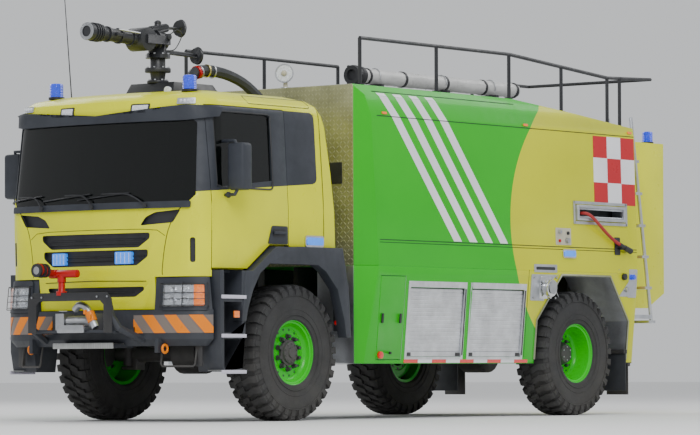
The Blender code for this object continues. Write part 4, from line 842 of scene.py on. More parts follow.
HOSE_RADIUS = 0.0165
HOSE_ROUTE = (
    (1.0853, 4.585, 2.030),
    (1.235, 4.585, 2.030),
    (1.285, 4.610, 2.022),
    (1.305, 4.680, 1.985),
    (1.300, 4.790, 1.925),
    (1.292, 4.900, 1.865),
    (1.288, 5.010, 1.805),
    (1.290, 5.110, 1.755),
    (1.294, 5.180, 1.728),
)


def make_side_hose():
    """The reel hose, from inside its slot to the nozzle."""
    route = [HOSE_ROUTE[0], *smooth_route(HOSE_ROUTE[1:], 6)]
    hose = Piece("reel_hose", "body", "red_hose")
    hose.add(tube(route, HOSE_RADIUS, 16), "red_hose")
    item = hose.done(60)
    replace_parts(item, "side_hose")
    dress("hose_nozzle", "black")


make_camera()
make_stage()
make_side_hose()


# CAD nodes that keep their shape, with softened edges and better materials

WINDOW_LINE = ((0, -1.16, 2.055), (0, -0.075, 0.997))  # a point on the cab's belt line, and its normal
DARK_FOOT = 2.06
DARK_TOP = 2.82
DARK_INNER = 0.95
QUARTER_REAR = 0.33
FLAP_TOP = 0.53
FLAP_FRONT = 5.2
REAR_FACE = 5.5
SLOT_LOW, SLOT_HIGH, SLOT_FIRST, SLOT_LAST = 1.93, 2.13, 4.42, 5.37
SLOT_MOUTH = 1.232
SLOT_INSIDE = 1.20
ARCH_CEILING = 1.42
ARCH_INNER = 1.15
ROOF_LEVEL = 2.8
# How much of a normal must lie along an axis for its face to look that way
FACES_OUT = 0.98
FACES_FRONT = 0.97
FACES_UP = 0.9
FACES_REAR = 0.7
FACES_SIDEWAYS = 0.5
DARK_PLANES = (
    WINDOW_LINE,
    ((0, 0, DARK_TOP), (0, 0, 1)),
    ((0, QUARTER_REAR, 0), (0, 1, 0)),
    ((DARK_INNER, 0, 0), (1, 0, 0)),
    ((-DARK_INNER, 0, 0), (1, 0, 0)),
)
GRILLE_SLOTS = (
    ((-0.64, 1.69), (0.64, 1.69), (0.64, 1.64), (0.52, 1.56), (-0.52, 1.56), (-0.64, 1.64)),
    ((-0.62, 1.54), (0.62, 1.54), (0.62, 1.48), (0.50, 1.40), (-0.50, 1.40), (-0.62, 1.48)),
    ((-0.47, 1.36), (0.47, 1.36), (0.46, 1.30), (-0.46, 1.30)),
    ((-0.57, 1.21), (0.57, 1.21), (0.57, 1.18), (0.47, 1.12), (-0.47, 1.12), (-0.57, 1.18)),
)
SIDE_SLOTS = (
    ((0.21, 1.08), (0.58, 1.08), (0.57, 1.05), (0.46, 1.02), (0.21, 1.02)),
    ((0.54, 1.755), (0.88, 1.775), (0.96, 1.89), (0.70, 1.87), (0.60, 1.83)),
)
CORNER_VENT = ((1.05, 1.42), (1.10, 1.42), (1.10, 1.64), (1.05, 1.64))


def above_line(point):
    return (point - Vector(WINDOW_LINE[0])).dot(Vector(WINDOW_LINE[1])) > 0


def cab_region(centre, normal):
    """Plastic inside the cab, under it and round the side windows, paint elsewhere."""
    if SHELL_TREE.ray_cast(centre + normal * 0.01, normal, 3.0)[0] is not None or normal.z < -0.8:
        return 1
    if normal.y > FACES_REAR:
        return 0
    level = DARK_FOOT < centre.z < DARK_TOP
    beside = centre.y < QUARTER_REAR and abs(centre.x) > DARK_INNER
    return 1 if level and beside and above_line(centre) else 0


def door_region(centre, normal):
    outside = normal.x * centre.x > 0.2 * abs(centre.x)
    return 0 if outside and not above_line(centre) else 1


def body_region(centre, normal):
    """0 is livery, 1 front plate or bare metal inside, 2 black slot and flaps, 3 the roof's plate."""
    out = abs(centre.x)
    if centre.y > FLAP_FRONT and centre.z < FLAP_TOP:
        return 2
    if centre.y > REAR_FACE and normal.y > FACES_REAR:
        return 0
    in_slot = SLOT_LOW < centre.z < SLOT_HIGH and SLOT_FIRST < centre.y < SLOT_LAST and out < SLOT_MOUTH
    if in_slot and (abs(normal.x) < FACES_OUT or out < SLOT_INSIDE):
        return 2
    if normal.y < -FACES_FRONT and centre.y < BODY_FRONT + 0.01 and out < SLOT_INSIDE:
        return 1
    if normal.z > FACES_UP and centre.z > ROOF_LEVEL:
        return 3
    if centre.z < ARCH_CEILING and out < ARCH_INNER:
        return 1
    if centre.z < ARCH_CEILING and abs(normal.x) < FACES_SIDEWAYS and centre.y > BODY_FRONT + 0.3:
        return 1
    return 0


def pump_region(centre, normal):
    outside = abs(centre.x) > 0.79 or centre.y > 6.75 or centre.z < 1.3
    return 0 if outside else 1


def grille_slots():
    """The radiator grille's slots and the corner vents, as recesses in the cab's front."""
    outlines = list(GRILLE_SLOTS)
    for side, _ in SIDES:
        outlines += [sided(side, slot) for slot in SIDE_SLOTS]
    cutters = [patch(rounded(outline, 0.02, 3), SHELL_FACE, 0.02, 0.055, 0.2) for outline in outlines]
    for side, _ in SIDES:
        cutters.append(patch(rounded(sided(side, CORNER_VENT), 0.024), SHELL_ROUND, 0.02, 0.045, 0.2))
    return [(cutter, "black") for cutter in cutters]


LOWER_BODY = (("livery", "aluminium", "black"), 0.003, body_region, (), (((0, 0, FLAP_TOP), (0, 0, 1)),))
# For each pair of nodes: its materials, the softened edge in metres and what softer_copy takes after those
SOFTENED_PAIRS = (
    ("cab_door", ("lime", "plastic"), 0.004, door_region, (), DARK_PLANES[:1]),
    ("fender_and_steps", ("plastic",), 0.007),
    ("lower_body", *LOWER_BODY),
    ("locker_door", ("livery",), 0.003),
    ("tank_inlet", ("chrome",), 0.003),
    ("steering_knuckle", ("frame",), 0.006),
)
SOFTENED = (
    ("upper_body", ("livery", "front_plate", "black", "deck"), 0.006, body_region),
    ("front_bumper", ("plastic",), 0.007),
    ("rear_door", ("lime",), 0.006),
    ("pump_box", ("lime", "deck"), 0.004, pump_region),
    ("dashboard", ("plastic",), 0.012),
    ("chassis_frame", ("frame",), 0.005),
    ("engine_and_driveline", ("frame",), 0.008),
    ("front_axle", ("frame",), 0.006),
    ("rear_axle", ("frame",), 0.006),
    ("rear_ladder", ("aluminium",), 0.002),
    ("hose_guide", ("aluminium",), 0.002),
    ("roof_monitor_base", ("monitor",), 0.006),
    ("roof_monitor_head", ("monitor",), 0.004),
    ("roof_monitor_barrel", ("monitor",), 0.004),
    ("bumper_monitor_base", ("red",), 0.003),
    ("bumper_monitor_body", ("red",), 0.003),
    ("steering_wheel", ("plastic",), 0.002),
)
DRESSED = {
    "roof_rail_left": "black",
    "roof_rail_right": "black",
    "roof_supply_hose": "hose",
    "whip_antenna": "black",
    "winch": "steel",
}


def finish_nodes():
    softer_copy("cab_shell", ("lime", "plastic"), 0.006, cab_region, grille_slots(), DARK_PLANES)
    for _, word in SIDES:
        for node, *options in SOFTENED_PAIRS:
            softer_copy(f"{node}_{word}", *options)
        dress(f"door_window_{word}", "glass")
    for row in SOFTENED:
        softer_copy(*row)
    for node, material in DRESSED.items():
        dress(node, material)
    softer_copy("windshield", ("glass",), 0)


finish_nodes()


# Wheels, about the X axis

TREAD_COUNT = 34
PITCH = 2 * math.pi / TREAD_COUNT
CARCASS = 0.594
TYRE_HALF = 0.177
TRACKS = {"front": 2.032, "rear": 2.126}
SIDE_RINGS = ((0.345, 0.003), (0.395, 0.002), (0.52, 0.003))  # radius and height
FLANGE = 0.1405
RIM_EDGE = (
    (-FLANGE + 0.01, 0.26), (-FLANGE, 0.30), (-FLANGE + 0.01, 0.302), (FLANGE - 0.012, 0.302),
    (FLANGE + 0.004, 0.302), (FLANGE + 0.008, 0.296), (FLANGE + 0.004, 0.289), (FLANGE - 0.012, 0.283),
    (FLANGE - 0.018, 0.268),
)
DISCS = {
    "front": (
        (FLANGE - 0.045, 0.262), (FLANGE - 0.062, 0.252), (0.070, 0.243), (0.064, 0.235), (0.066, 0.165),
        (0.076, 0.158), (0.078, 0.10), (0.078, 0.0),
    ),
    "rear": (
        (0.02, 0.262), (-0.015, 0.258), (-0.038, 0.245), (-0.052, 0.23), (-0.050, 0.165), (-0.040, 0.155),
        (-0.040, 0.0),
    ),
}
HUBS = {
    "front": (
        (0.07, 0.0), (0.07, 0.122), (0.10, 0.118), (0.104, 0.10), (0.122, 0.096), (0.128, 0.088),
        (0.130, 0.05), (0.142, 0.045), (0.144, 0.0),
    ),
    "rear": (
        (-0.04, 0.0), (-0.04, 0.118), (0.0, 0.110), (0.02, 0.098), (0.034, 0.09), (0.040, 0.07),
        (0.040, 0.0),
    ),
}
# Rings of bolts: count, radius, x, size, height, sides and material
BOLTS = {
    "front": (
        (16, 0.212, 0.0655, 0.011, 0.002, 16, "black"),
        (10, 0.148, 0.076, 0.019, 0.042, 6, "black"),
        (10, 0.148, 0.076, 0.026, 0.012, 20, "black"),
        (10, 0.083, 0.124, 0.009, 0.010, 6, "frame"),
    ),
    "rear": (
        (16, 0.205, -0.051, 0.011, 0.002, 16, "black"),
        (10, 0.148, -0.041, 0.018, 0.030, 6, "frame"),
        (6, 0.066, 0.034, 0.010, 0.012, 6, "steel"),
    ),
}


def tread_block(start, end, first, last, skew, foot, top):
    """One lug, from start to end across the tyre and first to last round it, leaning by skew."""
    work = bmesh.new()
    steps = 4
    rings = []
    for i in range(steps + 1):
        share = i / steps
        across = start + (end - start) * share
        drop = 0.020 * max(0.0, (abs(across) - 0.125) / 0.05) ** 2
        ring = []
        for angle, radius in ((first, foot), (first + 0.004, top), (last - 0.004, top), (last, foot)):
            a = angle + skew * share
            r = radius - drop
            ring.append(work.verts.new((across, r * math.sin(a), r * math.cos(a))))
        rings.append(ring)
    for a, b in zip(rings, rings[1:]):
        for i in range(4):
            j = (i + 1) % 4
            work.faces.new((a[i], a[j], b[j], b[i]))
    work.faces.new(rings[0])
    work.faces.new(rings[-1])
    bmesh.ops.recalc_face_normals(work, faces=work.faces)
    return mesh_of(work)


def tyre():
    """The carcass with its bead, side rings and chunky off-road lugs."""
    half = TYRE_HALF
    profile = [
        (-half + 0.04, 0.288), (-half + 0.012, 0.305), (-half + 0.002, 0.36), (-half, 0.44),
        (-half + 0.002, 0.50), (-half + 0.010, 0.55), (-half + 0.030, 0.585), (-half + 0.06, CARCASS),
        (0.0, CARCASS + 0.003),
    ]
    profile += sided(-1, reversed(profile[:-1]))
    work = bmesh.new()
    work.from_mesh(lathe((0, 0, 0), (1, 0, 0), profile, 96))
    for radius, height in SIDE_RINGS:
        top = 0.004 + height
        ring = ((0, radius - 0.006), (top, radius - 0.002), (top, radius + 0.002), (0, radius + 0.006))
        for side, _ in SIDES:
            work.from_mesh(lathe((side * (half - 0.004), 0, 0), (side, 0, 0), ring, 96))
    for i in range(TREAD_COUNT):
        for side, _ in SIDES:
            a = PITCH * (i + (0.5 if side < 0 else 0.0))
            lugs = (
                (0.088, half - 0.008, a, a + PITCH * 0.60, 0.0, 0.572, TYRE_RADIUS),
                (0.006, 0.094, a - PITCH * 0.34, a + PITCH * 0.20, side * PITCH * 0.36, 0.585, TYRE_RADIUS),
                (half - 0.022, half, a + 0.01, a + PITCH * 0.56, 0.0, 0.535, 0.598),
            )
            for start, end, *shape in lugs:
                work.from_mesh(tread_block(side * start, side * end, *shape))
    return mesh_of(work)


def add_rim(piece, end, turn):
    along = (1, 0, 0)
    piece.add(lathe((0, 0, 0), along, RIM_EDGE + DISCS[end], 72), "rim_green", turn)
    for count, radius, x, size, height, sides, material in BOLTS[end]:
        for y, z in circle(count, radius, math.pi / count):
            piece.add(rod((x, y, z), (x + height, y, z), size, size * 0.92, sides, 0.0015), material, turn)
    piece.add(lathe((0, 0, 0), along, HUBS[end], 48), "frame", turn)


def make_wheels():
    for end, track in TRACKS.items():
        for side, word in SIDES:
            node = f"{end}_wheel_{word}"
            place = Matrix.Translation((track / 2, middle(node).y - AXLE_Y, TYRE_RADIUS))
            rolling = Piece(f"{node}_tyre", node, "tyre_rubber")
            rolling.add(tyre(), "tyre", place)
            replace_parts(rolling.done(34, side < 0), node)
            disc = Piece(f"{node}_rim", node, "green_paint")
            add_rim(disc, end, place)
            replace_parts(disc.done(36, side < 0), node)


make_wheels()


# The cab's front

VISOR_HALF = (
    (0.0, 2.685), (1.0, 2.685), (1.38, 2.72), (1.42, 2.80), (1.0, 2.825), (0.82, 2.815), (0.62, 2.765),
    (0.0, 2.755),
)
HEADER_LAMPS = ((-0.385, 0.085), (0.48, 0.10))  # middle and half width
WIPERS = ((-0.62, -0.95), (0.02, -0.33), (0.62, 0.12))  # where the foot and the blade's middle are
GRILLE_STROBES = ((-0.51, -0.34), (0.26, 0.44))
GRILLE_BARS = (1.60, 1.635, 1.45, 1.485, 1.33, 1.165, 1.05)
CORNER_SEAM = ((0.99, 1.93), (0.90, 1.84), (0.83, 1.70), (0.79, 1.52), (0.77, 1.35), (0.775, 1.31))
FRONT_SEAMS = (  # points, width and how finely it bends
    (smooth_route(CORNER_SEAM, 4), 0.007, 0.06),
    (((0.0, 1.268), (0.76, 1.255)), 0.006, 0.1),
    (((0.0, 1.725), (0.55, 1.722), (0.72, 1.71), (0.80, 1.66)), 0.005, 0.1),
)


def make_header():
    piece = Piece("header_lamps")
    piece.cover(CAB_ROUND, mirrored(VISOR_HALF), 0.035, 0.034, 0.08, "plastic")
    for u, half in HEADER_LAMPS:
        piece.cover(CAB_ROUND, oblong(u - half, 2.762, u + half, 2.848, 0.012), 0.010, 0.012, 0.05, "black")
        pane = oblong(u - half + 0.018, 2.776, u + half - 0.012, 2.836, 0.008)
        piece.cover(CAB_ROUND, pane, 0.013, 0.006, 0.05, "white_lamp")
    for side, _ in SIDES:
        u = side * 0.98
        base = oblong(u - 0.12, 2.832, u + 0.12, 2.886, 0.008)
        piece.cover(CAB_ROUND, base, 0.010, 0.010, 0.05, "aluminium")
        for k in range(4):
            centre = spot(CAB_ROUND, u + (k - 1.5) * 0.052, 2.860, 0.009)
            piece.add(ball(centre, 0.017, (1, 0.5, 1), 14), "white_lamp")
    piece.done()


def make_wipers():
    piece = Piece("wipers_and_cowl")
    piece.cover(CAB_ROUND, oblong(-1.06, 1.905, 1.06, 1.965, 0.02), 0.022, 0.022, 0.1, "plastic")
    for x, reach in WIPERS:
        foot = spot(CAB_ROUND, x, 1.935, 0.035)
        knee = spot(CAB_ROUND, (x + reach) / 2 + 0.05, 2.035, 0.035)
        end = spot(CAB_ROUND, reach, 2.045, 0.035)
        piece.add(rod(foot, foot + Vector((0, -0.012, 0)), 0.022, None, 16, 0.003), "black")
        piece.add(tube(smooth_route([foot, knee, end], 6), 0.0075, 8), "black")
        blade = [(reach - 0.30 + 0.6 * k / 8, 2.000 + 0.05 * k / 8) for k in range(9)]
        piece.add(tube([spot(CAB_ROUND, u, v, 0.018) for u, v in blade], 0.0065, 6), "black")
    piece.done()


def make_grille():
    piece = Piece("grille_strobes")
    for u0, u1 in GRILLE_STROBES:
        piece.cover(CAB_FACE, oblong(u0, 1.415, u1, 1.525, 0.012), 0.002, 0.04, 0.06, "strobe")
        for k in range(4):
            u = u0 + (u1 - u0) * (k + 0.5) / 4
            line = oblong(u - 0.002, 1.425, u + 0.002, 1.515)
            piece.cover(CAB_FACE, line, 0.004, 0.003, 0.06, "white_lamp")
    for z in GRILLE_BARS:
        reach = 0.56 if z > 1.4 else 0.44
        points = [spot(CAB_FACE, -reach + reach * k / 6, z, -0.025) for k in range(13)]
        piece.add(tube([p for p in points if abs(p.y + 1.4) < 0.12], 0.006, 6), "black")
    piece.done()


def make_front_seams():
    piece = Piece("front_seams")
    for side, _ in SIDES:
        for line, width, step in FRONT_SEAMS:
            piece.cover(CAB_ROUND, strip(sided(side, line), width), 0.0012, 0.003, step, "seam")
    piece.done()


# The headlight's inner and outer end round the front, its foot and its top
LAMP_FIRST, LAMP_LAST, LAMP_LOW, LAMP_HIGH = 0.775, 1.215, 0.995, 1.285
GUARD_LIFT = 0.052
BOWLS = ((0.885, 0.052), (1.01, 0.048))  # middle and radius


def lamp_sheets():
    """The headlight's layers: outline, lift, thickness, material and corner radius."""
    u0, u1, v0, v1 = LAMP_FIRST, LAMP_LAST, LAMP_LOW, LAMP_HIGH
    return (
        ((u0, v0, u1, v1), 0.012, 0.012, "plastic", 0.035),
        ((u0 + 0.03, v0 + 0.03, u1 - 0.03, v1 - 0.055), 0.017, 0.008, "black", 0.02),
        ((u0 + 0.04, v0 + 0.04, 1.095, v1 - 0.065), 0.0215, 0.006, "chrome", 0.01),
        ((1.085, v0 + 0.04, u1 - 0.04, v1 - 0.065), 0.024, 0.008, "amber", 0.01),
        ((u0 + 0.035, v0 + 0.035, 1.09, v1 - 0.06), 0.036, 0.003, "clear", 0.015),
    )


def make_headlight(side, word):
    piece = Piece(f"headlight_{word}")

    def at(u, v, lift):
        return spot(BUMPER_ROUND, side * u, v, lift)

    for corners, lift, thick, material, radius in lamp_sheets():
        outline = rounded(sided(side, oblong(*corners)), radius)
        piece.cover(BUMPER_ROUND, outline, lift, thick, 0.05, material)
    for u, r in BOWLS:
        bowl = (
            (0.0, 0.0), (0.0, r * 0.5), (0.006, r * 0.8), (0.012, r * 0.84), (0.012, r * 0.76),
            (0.004, r * 0.4), (0.003, 0),
        )
        for v in (LAMP_LOW + 0.085, LAMP_LOW + 0.175):
            centre = at(u, v, 0.020)
            out = -wrap(side * u, v)[1]
            piece.add(lathe(centre, out, bowl, 28), "chrome")
            piece.add(ball(centre + out * 0.004, r * 0.26, (1, 1, 1), 14), "white_lamp")
    width = LAMP_LAST - LAMP_FIRST - 0.02
    for v in (LAMP_LOW + 0.045, LAMP_LOW + 0.10, LAMP_LOW + 0.155, LAMP_HIGH - 0.06):
        line = [at(LAMP_FIRST + 0.01 + width * k / 10, v, GUARD_LIFT) for k in range(11)]
        piece.add(tube(line, 0.0035, 6), "black")
    height = LAMP_HIGH - LAMP_LOW - 0.08
    for u in (LAMP_FIRST + 0.01, 0.995, LAMP_LAST - 0.01):
        line = [at(u, LAMP_LOW + 0.03 + height * k / 4, GUARD_LIFT) for k in range(5)]
        piece.add(tube(line, 0.0035, 6), "black")
        for v in (LAMP_LOW + 0.03, LAMP_HIGH - 0.05):
            piece.add(rod(at(u, v, 0.006), at(u, v, 0.053), 0.0035, None, 8), "black")
    piece.done()


make_header()
make_wipers()
make_grille()
make_front_seams()
for lamp_side, lamp_word in SIDES:
    make_headlight(lamp_side, lamp_word)


# The bumper

# The striped band's inner and outer end round the front, its foot and its top
BAND_FIRST, BAND_LAST, BAND_LOW, BAND_HIGH = 0.485, 1.27, 0.795, 0.955
STRIPE_WIDTH = 0.118
STRIPE_LEAN = 0.13
STRIPE_STEP = 0.235
DRUM_Y = -1.58
DRUM_Z = 0.90
CABLE_TURNS = 22
BULL_BAR = (
    (-0.50, 0.80), (-0.50, 1.10), (-0.44, 1.16), (0.44, 1.16), (0.50, 1.10), (0.50, 0.80),
    (0.40, 0.80), (0.40, 1.05), (0.36, 1.085), (-0.36, 1.085), (-0.40, 1.05), (-0.40, 0.80),
)
FOOT_STEP = (
    (0.72, -1.30, 0.70), (0.72, -1.33, 0.52), (0.735, -1.33, 0.50),
    (1.02, -1.24, 0.50), (1.035, -1.235, 0.52), (1.035, -1.20, 0.70),
)
FLAP = ((1.02, 0.80), (1.10, 0.80), (1.10, 0.50), (1.02, 0.50))
PIPE = ((-0.02, -1.64, 1.01), (0.05, -1.66, 1.05), (0.13, -1.67, 1.03), (0.18, -1.67, 0.97))


def clipped(outline, low, high):
    """A convex outline cut off at two values of u."""
    for limit, sign in ((low, 1), (high, -1)):
        result = []
        for (u0, v0), (u1, v1) in zip(outline, outline[1:] + outline[:1]):
            inside0, inside1 = sign * (u0 - limit) >= 0, sign * (u1 - limit) >= 0
            if inside0:
                result.append((u0, v0))
            if inside0 != inside1:
                share = (limit - u0) / (u1 - u0)
                result.append((limit, v0 + (v1 - v0) * share))
        outline = result
    return outline


def make_bumper_stripes():
    piece = Piece("bumper_stripes")
    band = oblong(BAND_FIRST, BAND_LOW, BAND_LAST, BAND_HIGH)
    piece.cover(BUMPER_NEAR, band, 0.003, 0.003, 0.05, "hazard_grey", both=True)
    for k in range(-1, 4):
        u = BAND_FIRST + 0.09 + k * STRIPE_STEP
        top = [(u, BAND_HIGH), (u + STRIPE_WIDTH, BAND_HIGH)]
        foot = [(u + STRIPE_WIDTH + STRIPE_LEAN, BAND_LOW), (u + STRIPE_LEAN, BAND_LOW)]
        bar = clipped(top + foot, BAND_FIRST, BAND_LAST)
        if len(bar) > 2:
            piece.cover(BUMPER_NEAR, bar, 0.0045, 0.003, 0.05, "orange", both=True)
    piece.add(block((1.262, -0.975, 0.93), (1.274, -0.90, 0.99), 0.004), "amber", both=True)
    piece.done()


def make_front_fittings():
    """Towing eyes, foot steps, mud flaps, the winch's tray and cable and the bumper monitor's pipe."""
    piece = Piece("front_fittings", "body", "bare_steel")
    for side, _ in SIDES:
        eye = [(side * 0.80, -1.37 + y, 0.655 + z) for y, z in circle(16, 0.035)]
        piece.add(tube(eye, 0.012, 10, True), "orange")
        piece.add(tube([(side * x, y, z) for x, y, z in FOOT_STEP], 0.010, 10), "frame")
        piece.add(prism(sided(side, FLAP), "Y", -1.215, -1.205, 0.003), "black")
    piece.add(block((-0.35, -1.56, 0.7005), (0.35, -1.30, 0.706), 0.002), "deck")
    piece.add(block((-0.36, -1.566, 0.66), (0.36, -1.551, 0.712), 0.003), "deck")
    piece.add(tube(smooth_route(PIPE, 6), 0.032, 16), "steel")
    piece.add(rod((0.175, -1.67, 0.985), (0.215, -1.67, 0.90), 0.044, None, 24, 0.004), "orange")
    piece.add(rod((0.212, -1.67, 0.905), (0.25, -1.67, 0.845), 0.036, None, 24, 0.004), "aluminium")
    for x, z in ((0.16, 0.985), (0.22, 0.945)):
        piece.add(block((x - 0.012, -1.725, z - 0.02), (x + 0.012, -1.70, z + 0.02), 0.004), "orange")
    for k in range(CABLE_TURNS):
        turn = [(-0.14 + 0.0133 * k, DRUM_Y + y, DRUM_Z + z) for y, z in circle(16, 0.049)]
        piece.add(tube(turn, 0.0065, 6, True), "steel")
    piece.add(prism(oblong(-0.16, 0.80, 0.16, 0.87, 0.02), "Y", -1.735, -1.715, 0.004), "steel")
    piece.done()


def make_bull_bar_plates():
    piece = Piece("bull_bar_plates", "body", "black_paint")
    piece.add(prism(BULL_BAR, "Y", -1.741, -1.7355, 0.002), "black")
    for x in (-0.45, -0.33, 0.33, 0.45):
        piece.add(rod((x, -1.742, 1.12), (x, -1.75, 1.12), 0.010, None, 6), "steel")
    piece.done()


make_bumper_stripes()
make_front_fittings()
make_bull_bar_plates()


# The body's sides

SIDE_HEIGHTS = (0.52, 1.435, 2.84, 3.03, 3.13)
SIDE_REACHES = (1.18, 1.262, 1.225, 1.19, 1.12)
SIDE_FRONT = 1.19
SIDE_REAR = 5.55
STRIPE_BANDS = ((1.69, 2.836), (2.844, 3.028), (3.03, 3.058))  # they end at the seam and at the creases
STRIPE_FOOT = 1.69
STRIPE_TOP = 3.05
CHECKER_COLUMNS = (4.80, 5.05, 5.30, 5.55)
CHECKER_ROWS = (2.82, 2.60, 2.35, 2.13)
LONG_SEAMS = ((2.84, SIDE_REAR), (1.68, SIDE_REAR), (3.07, 3.5))  # height and rear end
THIN_SEAMS = (((1.19, 1.655), (5.55, 1.655)), ((3.62, 1.44), (3.62, 0.58)), ((5.15, 2.10), (5.15, 1.68)))
TAPE_FIRST, TAPE_LAST, TAPE_COUNT = 1.65, 3.69, 9
SHUTTER_BASE = 0.585
SHUTTER_TOP = 1.24
SHUTTER_WIDE = 0.87
SHUTTER_FRONTS = {"front": 1.685, "rear": 2.685}
SHUTTER_DEEP = 0.012
SLATS = 16
# Share of a slat's height, and how deep it lies there
SLAT_SHAPE = ((0.0, 0.006), (0.08, 0.0015), (0.45, 0.0), (0.85, 0.002), (0.97, 0.006))


def side_x(z):
    """How far out the body's side is at a height."""
    return float(np.interp(z, SIDE_HEIGHTS, SIDE_REACHES))


def make_livery_marks():
    piece = Piece("body_stripes", "body", "lime_paint")
    for k in range(4):
        top, foot = 1.25 + 0.254 * k, 2.37 + 0.256 * k
        lean = (top - foot) / (STRIPE_TOP - STRIPE_FOOT)
        for low, high in STRIPE_BANDS:
            a, b = (foot + lean * (z - STRIPE_FOOT) for z in (low, high))
            outline = [(a, low), (a + 0.128, low), (b + 0.128, high), (b, high)]
            piece.cover(BODY_SIDE, outline, 0.0016, 0.0012, 0.3, "stripe_white", both=True)
    for i, (high, low) in enumerate(zip(CHECKER_ROWS, CHECKER_ROWS[1:])):
        for j, (first, last) in enumerate(zip(CHECKER_COLUMNS, CHECKER_COLUMNS[1:])):
            material = "stripe_white" if (i + j) % 2 else "checker_red"
            piece.cover(BODY_SIDE, oblong(first, low, last, high), 0.0016, 0.0012, 0.3, material, both=True)
    for z, last in LONG_SEAMS:
        line = oblong(SIDE_FRONT, z - 0.004, last, z + 0.004)
        piece.cover(BODY_SIDE, line, 0.0012, 0.001, 0.4, "seam", both=True)
    for line in THIN_SEAMS:
        piece.cover(BODY_SIDE, strip(line, 0.006), 0.0012, 0.001, 0.4, "seam", both=True)
    piece.done()


def make_tape():
    piece = Piece("reflective_tape", "body", "lime_paint")
    size = (TAPE_LAST - TAPE_FIRST) / TAPE_COUNT
    for k in range(TAPE_COUNT):
        y = TAPE_FIRST + size * k
        # The red squares take the glowing red_lamp material. This is a painted glow that stands in for
        # light the tape reflects; the tape is no lamp.
        material = "stripe_white" if k % 2 else "red_lamp"
        mark = oblong(y, 0.527, y + size - 0.004, 0.56)
        piece.cover(BODY_SIDE, mark, 0.003, 0.003, 0.4, material, both=True)
    piece.done()


def make_shutter(node, first, side):
    """A curtain of rolled slats with a bottom bar, following the body's slope."""
    low, high = SHUTTER_BASE + 0.002, SHUTTER_TOP - 0.004
    bar_top = low + 0.05
    y0, y1 = first + 0.0065, first + SHUTTER_WIDE - 0.0065
    piece = Piece(f"{node}_slats", node, "aluminium_slats")

    def face(z, out):
        return side_x(z) - SHUTTER_DEEP + out

    pitch = (high - bar_top) / SLATS
    outline = []
    for k in range(SLATS):
        for share, depth in SLAT_SHAPE:
            z = bar_top + pitch * (k + share)
            outline.append((face(z, -depth), z))
    outline += [(face(z, -0.013), z) for z in (high, bar_top)]
    piece.add(prism(outline, "Y", y0, y1), "slat")
    bar = [(face(low, -0.012), low), (face(low, 0.006), low), (face(bar_top, 0.006), low + 0.046)]
    piece.add(prism([*bar, (face(bar_top, -0.012), bar_top)], "Y", y0, y1, 0.003), "slat")
    for a, b in ((y0, y0 + 0.07), (y1 - 0.07, y1)):
        piece.add(block((face(low, 0), a, low + 0.004), (face(low, 0.012), b, low + 0.040), 0.004), "black")
    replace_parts(piece.done(30, side < 0), node)


def make_shutters():
    for place, first in SHUTTER_FRONTS.items():
        for side, word in SIDES:
            make_shutter(f"{place}_shutter_{word}", first, side)
    piece = Piece("shutter_frames", "body", "aluminium_slats")
    for y0 in SHUTTER_FRONTS.values():
        y1 = y0 + SHUTTER_WIDE
        bars = ((y0 - 0.034, 0.56, y0, 1.30), (y1, 0.56, y1 + 0.034, 1.30))
        for bar in (*bars, (y0, 1.243, y1, 1.30), (y0, 0.56, y1, 0.583)):
            piece.cover(BODY_SIDE, oblong(*bar), 0.006, 0.006, 0.3, "slat", both=True)
        # A black strip on the rear frame bar stands for a gap there. It is painted shade, with no recess
        # behind it.
        gap_shade_strip = oblong(y1 + 0.008, 0.60, y1 + 0.026, 1.235)
        piece.cover(BODY_SIDE, gap_shade_strip, 0.008, 0.004, 0.3, "black", both=True)
    piece.done()


# On both sides: (y0, z0, y1, z1), lift, material, corner radius, thickness
SIDE_PLATES = (
    ((3.66, 1.14, 4.13, 1.40), 0.004, "aluminium", 0.02, 0.004),
    ((3.70, 1.42, 4.10, 1.50), 0.004, "aluminium", 0.01, 0.004),
    ((3.74, 1.445, 4.06, 1.475), 0.007, "black", 0.012, 0.004),
    ((4.09, 1.70, 4.36, 1.87), 0.004, "beige", 0.012, 0.004),
    ((4.20, 1.57, 4.43, 1.66), 0.014, "chrome", 0.03, 0.016),
    ((4.22, 1.585, 4.41, 1.645), 0.022, "strobe", 0.02, 0.012),
    ((5.21, 1.19, 5.55, 1.48), 0.004, "aluminium", 0.015, 0.004),
    ((1.275, 2.858, 1.345, 2.882), 0.010, "amber", 0.008, 0.01),
    ((5.445, 2.868, 5.515, 2.892), 0.010, "amber", 0.008, 0.01),
    ((3.585, 2.858, 3.655, 2.882), 0.010, "amber", 0.008, 0.01),
    ((1.258, 0.90, 1.282, 0.99), 0.014, "black", 0.006, 0.012),
    ((1.538, 0.90, 1.562, 0.99), 0.014, "black", 0.006, 0.012),
)
# On the left only, round the hose slot and behind the nozzle's clip
SLOT_PLATES = (
    ((4.42, 2.12, 5.37, 2.148), 0.010, "aluminium", 0.004, 0.012),
    ((4.42, 1.917, 5.37, 1.945), 0.010, "aluminium", 0.004, 0.012),
    ((4.41, 1.917, 4.44, 2.148), 0.010, "aluminium", 0.004, 0.012),
    ((5.35, 1.917, 5.38, 2.148), 0.010, "aluminium", 0.004, 0.012),
    ((5.14, 1.62, 5.24, 1.80), 0.006, "black", 0.01, 0.004),
)
